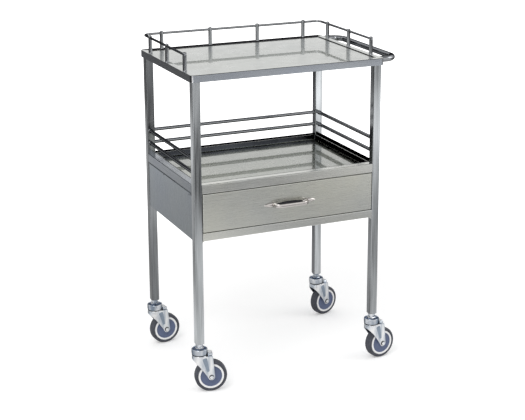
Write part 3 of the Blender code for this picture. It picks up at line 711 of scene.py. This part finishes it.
# The thin dark plate behind the strap, which is painted shade:
SHADE_PLATE_RADIUS = 0.203
SHADE_PLATE_HALF_HEIGHT = 0.0055
SHADE_PLATE_SPREAD = 13
DOT_HEIGHT = 0.0006
MIDDLE_DOT_Y = 0.050


def make_cabinet():
    """Materials for the CAD panels and runners that are kept, and the two dots on the left panel."""
    kept = {"side_panel_left": PANEL_PAINTED_SHADE, "side_panel_right": PANEL_PAINTED_SHADE, "back_panel": STEEL_X}
    for side in ("left", "right"):
        kept[f"drawer_runner_{side}"] = ZINC
        kept[f"drawer_slide_{side}"] = ZINC
    for node, material in kept.items():
        frame["nodes"][node].data.materials[0] = material
    low, high, _ = size_of("side_panel_left")
    front_dot = ("front", low.y + 0.0045, high.z - 0.0022, 0.0030)
    middle_dot = ("middle", MIDDLE_DOT_Y, high.z - 0.0016, 0.0020)
    for label, y, z, radius in (front_dot, middle_dot):
        profile = [(radius, 0), (radius, DOT_HEIGHT - 0.0002), (radius * 0.8, DOT_HEIGHT)]
        at = Matrix.Translation((low.x, y, z)) @ Matrix.Rotation(-math.pi / 2, 4, "Y")
        dot = turned(f"panel_dot_{label}", profile, 24, SHADOW, matrix=at)
        settle(dot, "frame", "satin_steel")


def make_drawer_front():
    """A front with rounded edges, folded in behind all round."""
    low, high, middle = size_of("drawer_front")
    half_x, half_z = (high.x - low.x) / 2, (high.z - low.z) / 2
    depth = high.y - low.y
    profile = [(drop, inset) for inset, drop in rounded_edge(FRONT_EDGE)]
    profile += [(0, depth), (FRONT_FOLD, depth), (FRONT_FOLD, depth - SHEET)]
    rings = []
    for inset, behind in profile:
        outline = rounded_rectangle(half_x - inset, half_z - inset, FRONT_CORNER - inset * 0.5, 4)
        rings.append([(middle.x + x, low.y + behind, middle.z + z) for x, z in outline])
    front = skinned("drawer_face", rings, DRAWER)
    settle(front, "drawer", "satin_steel", "drawer_front")


def make_drawer_box():
    """The drawer's folded tub, open above, with a rolled edge and a small bend along its floor."""
    box = size_of("drawer_box")
    low, high, _ = box
    outer = [(0.0015, low.z), (0.0, low.z + 0.0020), (0.0, high.z - 0.0008)]
    hem = [(0.0005, high.z), (BOX_HEM - 0.0005, high.z), (BOX_HEM, high.z - 0.0008)]
    hem += [(BOX_HEM, high.z - BOX_HEM_DEPTH), (SHEET, high.z - BOX_HEM_DEPTH - 0.0006)]
    rings = rectangle_loft(box, BOX_CORNER, outer + hem + floor_bend(low.z + SHEET, BOX_BEND))
    tub = skinned("drawer_tub", rings, BOX_STEEL)
    settle(tub, "drawer", "satin_steel", "drawer_box")


def pointed_oval(radius, half_height, spread, steps):
    """Two equal shallow arcs facing each other, each spread this many degrees to both sides."""
    upper = arc((0, half_height - radius), radius, 90 - spread, 90 + spread, steps)
    lower = arc((0, radius - half_height), radius, 270 - spread, 270 + spread, steps)
    return upper + lower[1:-1]


def pull_leaves(work, low, high, middle):
    """Two pointed, domed leaves on the drawer's face."""
    half_length, half_height = LEAF_LENGTH / 2, (high.z - low.z) / 2
    radius = (half_length**2 + half_height**2) / (2 * half_height)
    spread = math.degrees(math.asin(half_length / radius))
    outline = pointed_oval(radius, half_height, spread, steps=14)
    for side in (-1, 1):
        centre = middle.x + side * ((high.x - low.x) - LEAF_LENGTH) / 2
        rings = []
        for share, rise in LEAF_DOME:
            rings.append([(centre + u * share, high.y - rise, middle.z + v * share) for u, v in outline])
        skin(work, rings)


def pull_strap(work, low, high, middle):
    """An oval strap that bows out from one leaf to the other."""
    root, out = high.y - STRAP_ROOT, low.y + STRAP_HALF_DEPTH
    left, right = middle.x - GRIP_HALF, middle.x + GRIP_HALF
    corners = [(left, root, middle.z), (left, out, middle.z), (right, out, middle.z), (right, root, middle.z)]
    path = bent_path(corners, STRAP_BEND, steps=12)
    up = Vector((0, 0, 1))
    oval = [(STRAP_HALF_DEPTH * a, STRAP_HALF_HEIGHT * b) for a, b, _ in circle(1, 0, sides=24)]
    rings = []
    for i, here in enumerate(path):
        outward = heading(path, i).cross(up)
        rings.append([here + outward * depth + up * height for depth, height in oval])
    skin(work, rings)


def make_pull():
    """A bowed oval strap between two pointed, domed leaves, over a thin dark plate that is painted shade
    behind the strap.
    """
    low, high, middle = size_of("drawer_pull")
    work = bmesh.new()
    pull_leaves(work, low, high, middle)
    pull_strap(work, low, high, middle)
    pull = finished("pull_bow", work, PULL)
    settle(pull, "drawer", "bright_steel", "drawer_pull")
    # The dark plate is painted shade where the strap shades the drawer's face.
    outline = pointed_oval(SHADE_PLATE_RADIUS, SHADE_PLATE_HALF_HEIGHT, SHADE_PLATE_SPREAD, steps=16)
    rings = [[(middle.x + u, high.y + y, middle.z + v) for u, v in outline] for y in (0.0001, -0.0004)]
    plate = skinned("pull_painted_shade_plate", rings, SHADOW)
    settle(plate, "drawer", "bright_steel")


# Castors

WHEEL_SIDES = 80
HEAD_SIDES = 56
TYRE_HALF = 0.013
TYRE_INNER = 0.0362
TYRE_SHOULDER = 0.007
HUB_RIM = 0.0122  # heights on the hub, from the wheel's middle
HUB_DISC = 0.0096
HUB_BOSS = 0.0144
HUB_BORE = 0.0042
FORK_TOP = 0.1065
FORK_HALF = 0.0180
FORK_SHEET = 0.0025
FORK_FRONT = 0.0212
FORK_BACK = 0.0345
FORK_SKIRT = 0.0090
FORK_ROUND = 0.0180
FORK_SQUARENESS = 2.2  # 2 would make its plan round at the front
FORK_HOLLOW = 0.024  # from the axle to the corner that its front edge curves round
FORK_BEND = 0.0022
FORK_EASE = 0.0006
CROWN_REACH = 0.025
EYE_RADIUS = 0.0095
EYE_FROM, EYE_TO = 216, 357  # the free part of its edge, in degrees
BLOCK_START = 0.0205
BLOCK_HALF = 0.0125
BLOCK_HEIGHT = 0.0075
BLOCK_ROUND = 0.0032
RIB_STEPS = 14
RIB_SIDES = 8
RIB_HEIGHT = 0.0010
RIB_HALF_WIDTH = 0.0072  # at the crown
RIB_TAPER = 0.0034
AXLE_RADIUS = 0.0039
# (radius, distance past the cheek)
AXLE_NUT = ((0.0052, 0.0008), (0.0057, 0.0012), (0.0057, 0.0027), (0.0051, 0.0031))
AXLE_THREAD = ((0.0030, 0.0030), (0.0030, 0.0034), (0.0025, 0.0035))
AXLE_WASHER = ((0.0066, 0), (0.0068, 0.0002), (0.0068, 0.0007), (0.0064, 0.0009))
CUP_BOTTOM = 0.1098
CUP_HEIGHT = 0.0168
CUP_RECESS = 0.0055
RIVET_TOP = 0.1032
STEM_REACH = 0.027  # up into the leg
NUT_PROFILE = ((0.0118, 0.0001), (0.0128, 0.0010), (0.0128, 0.0073), (0.0116, 0.0083))
NUT_TURN = math.radians(12)


def make_castor(corner):
    """One castor. The wheel turns about z in its own space, and the fork's space has x along its trail."""
    fork_body, wheel_body = f"{corner}_fork", f"{corner}_wheel"
    roll = joint(f"{corner}_roll")
    stem, eye = Vector(joint(f"{corner}_swivel")["pos_m"]), Vector(roll["pos_m"])
    axis = Vector(roll["axis"]).normalized()
    trail = Vector((eye.x - stem.x, eye.y - stem.y, 0))
    forward = trail.normalized()
    wheel_axes = Matrix((forward, axis.cross(forward), axis)).transposed().to_4x4()
    fork_axes = Matrix((forward, axis, (0, 0, 1))).transposed().to_4x4()
    wheel_place = Matrix.Translation(eye) @ wheel_axes
    fork_place = Matrix.Translation((stem.x, stem.y, 0)) @ fork_axes

    make_wheel(corner, wheel_body, wheel_place)
    make_fork(corner, fork_body, fork_place, trail.length, eye.z)
    make_ribs(corner, fork_body, fork_place, trail.length, eye.z)
    make_race(corner, fork_body, fork_place)
    make_axle(corner, fork_body, wheel_place)
    make_head(corner, stem)


def make_wheel(corner, body, place):
    """A grey tyre on a dished hub, with a raised white ring on each side."""
    low, high, _ = size_of(f"castor_{corner}_tyre")
    radius = (high.z - low.z) / 2
    tread = [(TYRE_INNER, TYRE_HALF - 0.0025), (TYRE_INNER + 0.0008, TYRE_HALF - 0.0008)]
    tread += [(TYRE_INNER + 0.002, TYRE_HALF)]
    tread += arc((radius - TYRE_SHOULDER, TYRE_HALF - TYRE_SHOULDER), TYRE_SHOULDER, 84, 10, 6)
    tread += [(radius, TYRE_HALF - TYRE_SHOULDER - 0.0015), (radius, 0.0010), (radius - 0.0004, 0.0003)]
    tyre = turned(f"tyre_{corner}", both_sides(tread), WHEEL_SIDES, TYRE, loop=True)
    settle(tyre, body, "tyre_rubber", f"castor_{corner}_tyre", place=place)

    rim, disc = HUB_RIM, HUB_DISC
    face = [(HUB_BORE, HUB_BOSS), (0.0085, HUB_BOSS), (0.0096, HUB_BOSS - 0.0008), (0.0104, disc + 0.0012)]
    face += [(0.0120, disc), (0.0200, disc - 0.0006), (0.0262, disc - 0.0004), (0.0288, disc + 0.0006)]
    face += [(0.0298, rim - 0.0012), (0.0298, rim - 0.003), (0.0359, rim - 0.003)]
    hub = turned(f"hub_{corner}", both_sides(face), WHEEL_SIDES, HUB, loop=True)
    settle(hub, body, "hub_plastic", f"castor_{corner}_hub", place=place)

    band = [(0.02995, rim - 0.0028), (0.0300, rim - 0.0010), (0.0305, rim + 0.0003), (0.0320, rim + 0.0008)]
    band += [(0.0345, rim + 0.0007), (0.0356, rim - 0.0003), (0.0360, rim - 0.0014), (0.0360, rim - 0.0028)]
    for side, turn in (("near", 0), ("far", math.pi)):
        facing = Matrix.Rotation(turn, 4, "X")
        ring = turned(f"ring_{corner}_{side}", band, WHEEL_SIDES, RING, loop=True, matrix=facing)
        settle(ring, body, "hub_plastic", place=place)


def sweep(trail, eye_z, steps):
    """The hollow front edge of the fork, from the skirt under the crown down to the eye."""
    start = Vector((-FORK_FRONT, FORK_TOP - FORK_SKIRT))
    turn = math.radians(EYE_FROM)
    end = Vector((trail + EYE_RADIUS * math.cos(turn), eye_z + EYE_RADIUS * math.sin(turn)))
    hollow = Vector((trail - FORK_HOLLOW, eye_z + FORK_HOLLOW))
    places = [i / steps for i in range(steps + 1)]
    return [start.lerp(hollow, t).lerp(hollow.lerp(end, t), t) for t in places]


def half_width(x):
    """Half the fork's width: round at the front, straight behind."""
    behind = FORK_ROUND - FORK_FRONT
    if x >= behind:
        return FORK_HALF
    share = min(1.0, (behind - x) / FORK_ROUND)
    return FORK_HALF * (1 - share**FORK_SQUARENESS) ** (1 / FORK_SQUARENESS)


def fork_stations(trail, eye_z):
    """(x, y, low z, high z) round one half of the fork, from the middle of its nose to its eye."""
    front = sweep(trail, eye_z, steps=40)
    stations = [(point.x, half_width(point.x), point.y, FORK_TOP) for point in front]
    slope = (FORK_TOP - eye_z) / (trail + EYE_RADIUS - FORK_BACK)
    for u, v in arc((trail, eye_z), EYE_RADIUS, EYE_FROM + 6, EYE_TO, 20):
        top = min(FORK_TOP, eye_z + (trail + EYE_RADIUS - u) * slope)
        stations.append((u, FORK_HALF, v, top))
    return stations


def wall_section(x, y, low, high, outward):
    """The sheet's section at one station, its lower edge eased and its upper edge bent over."""
    bend = min(FORK_BEND, (high - low) / 3)
    ease = min(FORK_EASE, bend)
    points = [(FORK_SHEET, low + ease), (FORK_SHEET - ease, low), (ease, low), (0, low + ease)]
    points += [(0, high - bend), (bend * 0.29, high - bend * 0.29), (bend, high), (FORK_SHEET, high)]
    return [(x - outward.x * depth, y - outward.y * depth, z) for depth, z in points]


def make_fork(corner, body, place, trail, eye_z):
    """The pressed fork: one folded wall round both cheeks, a flat crown and a shoulder block on it."""
    half = fork_stations(trail, eye_z)
    stations = [(x, -y, low, high) for x, y, low, high in reversed(half)] + half[1:]
    path = [Vector((x, y, 0)) for x, y, _, _ in stations]
    rings = []
    for i, (x, y, low, high) in enumerate(stations):
        along = heading(path, i)
        rings.append(wall_section(x, y, low, high, outward=Vector((-along.y, along.x, 0))))
    work = skin(bmesh.new(), rings)
    plan = [(x, y) for x, y, _, high in stations if high == FORK_TOP]
    crown = []
    for inset, z in ((0.0024, FORK_TOP - 0.003), (0.0014, FORK_TOP - 0.003), (0.0010, FORK_TOP + 0.0001)):
        crown.append([(x * (1 - inset / CROWN_REACH), y * (1 - inset / FORK_HALF), z) for x, y in plan])
    skin(work, crown)
    block_low = (BLOCK_START, -BLOCK_HALF, FORK_TOP - 0.001)
    block_high = (FORK_BACK + 0.0004, BLOCK_HALF, FORK_TOP + BLOCK_HEIGHT)
    rounded_block(work, block_low, block_high, BLOCK_ROUND, steps=4)
    fork = finished(f"fork_{corner}", work, ZINC)
    settle(fork, body, "zinc_plate", f"castor_{corner}_fork", place=place)


def make_ribs(corner, body, place, trail, eye_z):
    """A long shallow rib pressed out of each cheek, from the crown down towards the eye, in darker zinc as a
    painted shade stripe.
    """
    top, bottom = Vector((0.0105, FORK_TOP - 0.004)), Vector((trail - 0.0085, eye_z + 0.016))
    along = (bottom - top).normalized()
    across = Vector((-along.y, along.x))
    length = (bottom - top).length
    work = bmesh.new()
    for side in (-1, 1):
        rings = []
        for share in [i / RIB_STEPS for i in range(RIB_STEPS + 1)]:
            centre = top + along * length * share
            width = RIB_HALF_WIDTH - RIB_TAPER * share
            height = RIB_HEIGHT * min(1.0, 5 * min(share, 1 - share) + 0.1)
            ring = []
            for k in range(RIB_SIDES + 1):
                turn = math.pi * k / RIB_SIDES
                spot = centre + across * width * math.cos(turn)
                ring.append((spot.x, side * (FORK_HALF - 0.0002 + height * math.sin(turn)), spot.y))
            rings.append(ring)
        skin(work, rings)
    ribs = finished(f"ribs_{corner}", work, RIB_PAINTED_SHADE)
    settle(ribs, body, "zinc_plate", place=place)


def make_race(corner, body, place):
    """The lower race on the fork's crown, its top painted dark as painted shade in the gap under the head."""
    base = FORK_TOP
    dish = [(0.0052, base), (0.0206, base), (0.0211, base + 0.0006), (0.0208, base + 0.0016)]
    dish += [(0.0194, base + 0.0031), (0.0052, base + 0.0031)]
    race = turned(f"race_{corner}", dish, HEAD_SIDES, ZINC, loop=True)
    repaint(race, lambda normal, centre: SHADOW if centre.z > base + 0.0014 else None)
    settle(race, body, "zinc_plate", place=place)


def make_axle(corner, body, place):
    """A bolt with a flat washer and a hexagon at each end, its thread showing past the nut."""
    half = FORK_HALF + 0.0003
    bolt = skin(bmesh.new(), [circle(AXLE_RADIUS, -half, sides=24), circle(AXLE_RADIUS, half, sides=24)])
    rings = bmesh.new()
    for side in (-1, 1):
        skin(bolt, [circle(r, side * (half + h), sides=6) for r, h in AXLE_NUT])
        skin(bolt, [circle(r, side * (half + h), sides=24) for r, h in AXLE_THREAD])
        skin(rings, [circle(r, side * (half + h), sides=24) for r, h in AXLE_WASHER])
    # The washers are painted dark: painted shade round each end of the bolt.
    washers = finished(f"washers_{corner}", rings, SHADOW)
    settle(washers, body, "zinc_plate", place=place)
    axle = finished(f"axle_{corner}", bolt, ZINC)
    settle(axle, body, "zinc_plate", f"castor_{corner}_axle", place=place)


def make_head(corner, stem):
    """The swivel head: the rivet under the crown, the cup with its dark recess, the stem and the nut. The
    recess and a band along the cup's lower edge are painted shade.
    """
    bottom, top = CUP_BOTTOM, CUP_BOTTOM + CUP_HEIGHT
    floor = top - CUP_RECESS
    leg_end = size_of(f"leg_{corner}")[0].z
    profile = [(0.002, RIVET_TOP - 0.005), (0.0062, RIVET_TOP - 0.005), (0.0084, RIVET_TOP - 0.0035)]
    profile += [(0.0085, RIVET_TOP - 0.0003), (0.0049, RIVET_TOP)]
    profile += [(0.0051, bottom), (0.0196, bottom), (0.0196, bottom + 0.0009), (0.0208, bottom + 0.0012)]
    profile += [(0.0215, bottom + 0.0022), (0.0219, bottom + 0.0045), (0.0220, top - 0.0030)]
    profile += [(0.0217, top - 0.0010), (0.0209, top), (0.0197, top - 0.0002)]
    profile += [(0.0190, top - 0.0012), (0.0182, floor + 0.0010), (0.0172, floor), (0.0085, floor)]
    profile += [(0.0085, leg_end - 0.0034), (0.0108, leg_end - 0.0032), (0.0110, leg_end - 0.0006)]
    profile += [(0.0094, leg_end - 0.0003), (0.0094, leg_end + STEM_REACH), (0.002, leg_end + STEM_REACH)]
    at = Matrix.Translation((stem.x, stem.y, 0))
    head = turned(f"head_{corner}", profile, HEAD_SIDES, CUP_PAINTED_SHADE, matrix=at)

    def face_material(normal, centre):
        out = math.hypot(centre.x - stem.x, centre.y - stem.y)
        # Painted shade: dark blue steel in the cup's recess, and dark steel along its lower edge over the
        # fork.
        if out < 0.0192 and floor - 0.0005 < centre.z < top - 0.0006:
            return RECESS_PAINTED_SHADE
        return SHADOW if out > 0.0150 and centre.z < bottom + 0.0010 else None

    repaint(head, face_material)
    settle(head, "frame", "zinc_plate", f"castor_{corner}_head")
    nut_profile = [(radius, floor + height) for radius, height in NUT_PROFILE]
    nut = turned(f"nut_{corner}", nut_profile, 6, ZINC, matrix=at @ Matrix.Rotation(NUT_TURN, 4, "Z"))
    settle(nut, "frame", "zinc_plate")


# Studio and camera

FLOOR_COLOUR = (0.9, 0.9, 0.9)
FLOOR_HALF = 9

# Soft darker pools of painted shade on the floor, which only steel sees: centre, near, far, tone inside and
# tone outside.
# The last one is the painted dim of the studio beyond the lit part of the floor.
PAINTED_SHADE_POOLS = (
    ((0.1, -0.1, 0), 0.9, 2.4, 0.92, 0.98),
    ((0.45, -2.45, 0), 0.45, 1.05, 0.28, 1.0),
    ((0.88, -1.25, 0), 0.3, 0.75, 0.50, 1.0),
    ((-0.9, 1.15, 0), 0.5, 1.1, 0.58, 1.0),
    ((-0.1, 2.7, 0), 0.6, 1.1, 0.10, 1.0),
    ((-3.4, -0.4, 0), 1.5, 2.1, 0.04, 1.0),
    ((3.5, -0.4, 0), 0.9, 1.7, 0.10, 1.0),
    ((1.2, 3.4, 0), 1.1, 2.0, 0.08, 1.0),
    ((0.3, -0.8, 0), 3.7, 4.6, 1.0, 0.30),
)

# The ray that sees it, then as above: white to the camera round the trolley, and two painted spots of light
# that only steel sees.
GLOWS = (
    ("Is Camera Ray", (0.0, 0.0, 0), 0.7, 1.8, 0.27, 1.0),
    ("Is Glossy Ray", (1.90, -2.75, 0), 0.4, 0.95, 0.75, 0.0),
    ("Is Glossy Ray", (-1.90, -2.95, 0), 0.55, 1.10, 1.0, 0.0),
)

PHOTO_WIDTH, PHOTO_HEIGHT = 525, 420
VIEW_CENTRE = (285.0, 160.0)  # the pixel that the camera points at
FOCAL_PIXELS = 1360.7
AZIMUTH = math.radians(-24.73)
ELEVATION = math.radians(15.46)
CAMERA_LEFT = 1.4985  # of the middle of the legs
CAMERA_IN_FRONT = 3.4170
CAMERA_HEIGHT = 1.6155


def faded(tree, coords, centre, near, far, inside, outside):
    """One value near a spot on the floor, going over softly to another away from it."""
    offset = tree.nodes.new("ShaderNodeVectorMath")
    offset.operation = "DISTANCE"
    offset.inputs[1].default_value = centre
    fade = tree.nodes.new("ShaderNodeMapRange")
    fade.interpolation_type = "SMOOTHSTEP"
    for socket, value in (("From Min", near), ("From Max", far), ("To Min", inside), ("To Max", outside)):
        fade.inputs[socket].default_value = value
    tree.links.new(coords.outputs["Object"], offset.inputs[0])
    tree.links.new(offset.outputs["Value"], fade.inputs["Value"])
    return fade.outputs["Result"]


def make_floor():
    """A pale floor, white to the camera. Steel sees soft pools of painted shade, painted spots of light and a
    painted uneven tone on it.
    """
    floor, tree = principled("studio_floor", FLOOR_COLOUR, roughness=0.9, metallic=0.0)
    shader = shader_of(tree)
    shader.inputs["Specular IOR Level"].default_value = 0.0
    coords = tree.nodes.new("ShaderNodeTexCoord")
    path = tree.nodes.new("ShaderNodeLightPath")
    tone = remap(tree, noise_at(tree, scale=1.6, detail=3), 0.72, 1.12)
    for pool in PAINTED_SHADE_POOLS:
        tone = combined(tree, "MULTIPLY", tone, faded(tree, coords, *pool))
    mix = tree.nodes.new("ShaderNodeMix")
    mix.data_type = "RGBA"
    mix.inputs["A"].default_value = (*FLOOR_COLOUR, 1)
    tree.links.new(tone, mix.inputs["B"])
    tree.links.new(path.outputs["Is Glossy Ray"], mix.inputs["Factor"])
    tree.links.new(mix.outputs["Result"], shader.inputs["Base Color"])
    strength = None
    for ray, *spot in GLOWS:
        glow = combined(tree, "MULTIPLY", path.outputs[ray], faded(tree, coords, *spot))
        strength = glow if strength is None else combined(tree, "ADD", strength, glow)
    shader.inputs["Emission Color"].default_value = (1, 1, 1, 1)
    tree.links.new(strength, shader.inputs["Emission Strength"])
    work = bmesh.new()
    bmesh.ops.create_grid(work, x_segments=1, y_segments=1, size=FLOOR_HALF)
    plane = finished("studio_floor", work, floor, smooth=False)


def make_card(name, material, corner, across, up):
    """A flat card, from one corner along two of its edges, that only reflections see."""
    corner, across, up = Vector(corner), Vector(across), Vector(up)
    work = bmesh.new()
    outline = (corner, corner + across, corner + across + up, corner + up)
    work.faces.new([work.verts.new(point) for point in outline])
    card = finished(name, work, material, smooth=False)
    card.visible_camera = False
    card.visible_diffuse = False
    card.visible_shadow = False


def make_world():
    """A soft white surround: full white to the camera and in reflections, a little less as light."""
    world = bpy.data.worlds.new("studio")
    world.use_nodes = True
    bpy.context.scene.world = world
    tree = world.node_tree
    background = tree.nodes["Background"]
    background.inputs["Color"].default_value = (1, 1, 1, 1)
    path = tree.nodes.new("ShaderNodeLightPath")
    seen = combined(tree, "MAXIMUM", path.outputs["Is Camera Ray"], path.outputs["Is Glossy Ray"])
    seen = combined(tree, "MAXIMUM", seen, path.outputs["Is Transmission Ray"])
    level = tree.nodes.new("ShaderNodeMapRange")
    level.inputs["To Min"].default_value = 0.78
    level.inputs["To Max"].default_value = 1.0
    tree.links.new(seen, level.inputs["Value"])
    tree.links.new(level.outputs["Result"], background.inputs["Strength"])


def area_light(name, place, target, size, power):
    light = bpy.data.lights.new(name, "AREA")
    light.shape = "RECTANGLE"
    light.size, light.size_y = size
    light.energy = power
    aim(linked(name, light), place, Vector(target) - Vector(place))


def make_camera():
    """The photograph's viewpoint, fitted to the corners of the real trolley."""
    data = bpy.data.cameras.new("camera")
    data.sensor_width = 36
    data.lens = FOCAL_PIXELS / PHOTO_WIDTH * data.sensor_width
    data.shift_x = (PHOTO_WIDTH / 2 - VIEW_CENTRE[0]) / PHOTO_WIDTH
    data.shift_y = (VIEW_CENTRE[1] - PHOTO_HEIGHT / 2) / PHOTO_WIDTH
    data.clip_end = 60
    camera = linked("camera", data)
    flat = math.cos(ELEVATION)
    back = Vector((math.sin(AZIMUTH) * flat, -math.cos(AZIMUTH) * flat, math.sin(ELEVATION)))
    middle = sum((size_of(f"leg_{corner}")[2] for corner in CORNERS), Vector()) / len(CORNERS)
    aim(camera, (middle.x - CAMERA_LEFT, middle.y - CAMERA_IN_FRONT, CAMERA_HEIGHT), -back)
    bpy.context.scene.camera = camera


bpy.context.scene.view_settings.view_transform = "Standard"
make_camera()
make_world()
make_floor()
make_card("ceiling_card", CEILING_CARD, corner=(-3.2, -3.2, 3.4), across=(6.4, 0, 0), up=(0, 6.4, 0))
make_card("back_left_card", DARK_CARD, corner=(-1.5, 2.4, 0.85), across=(1.15, 0.3, 0), up=(0, 0, 1.15))
area_light("key", place=(-1.8, -1.6, 2.8), target=(0, 0, 0.5), size=(1.6, 1.6), power=32)
area_light("fill", place=(2.4, -1.0, 2.0), target=(0, 0, 0.5), size=(1.4, 1.8), power=12)

make_frame()
make_fillets()
make_top()
make_guard_rail()
make_push_handle()
make_shelf()
make_shelf_rods()
make_cabinet()
make_drawer_front()
make_drawer_box()
make_pull()
for corner in CORNERS:
    make_castor(corner)
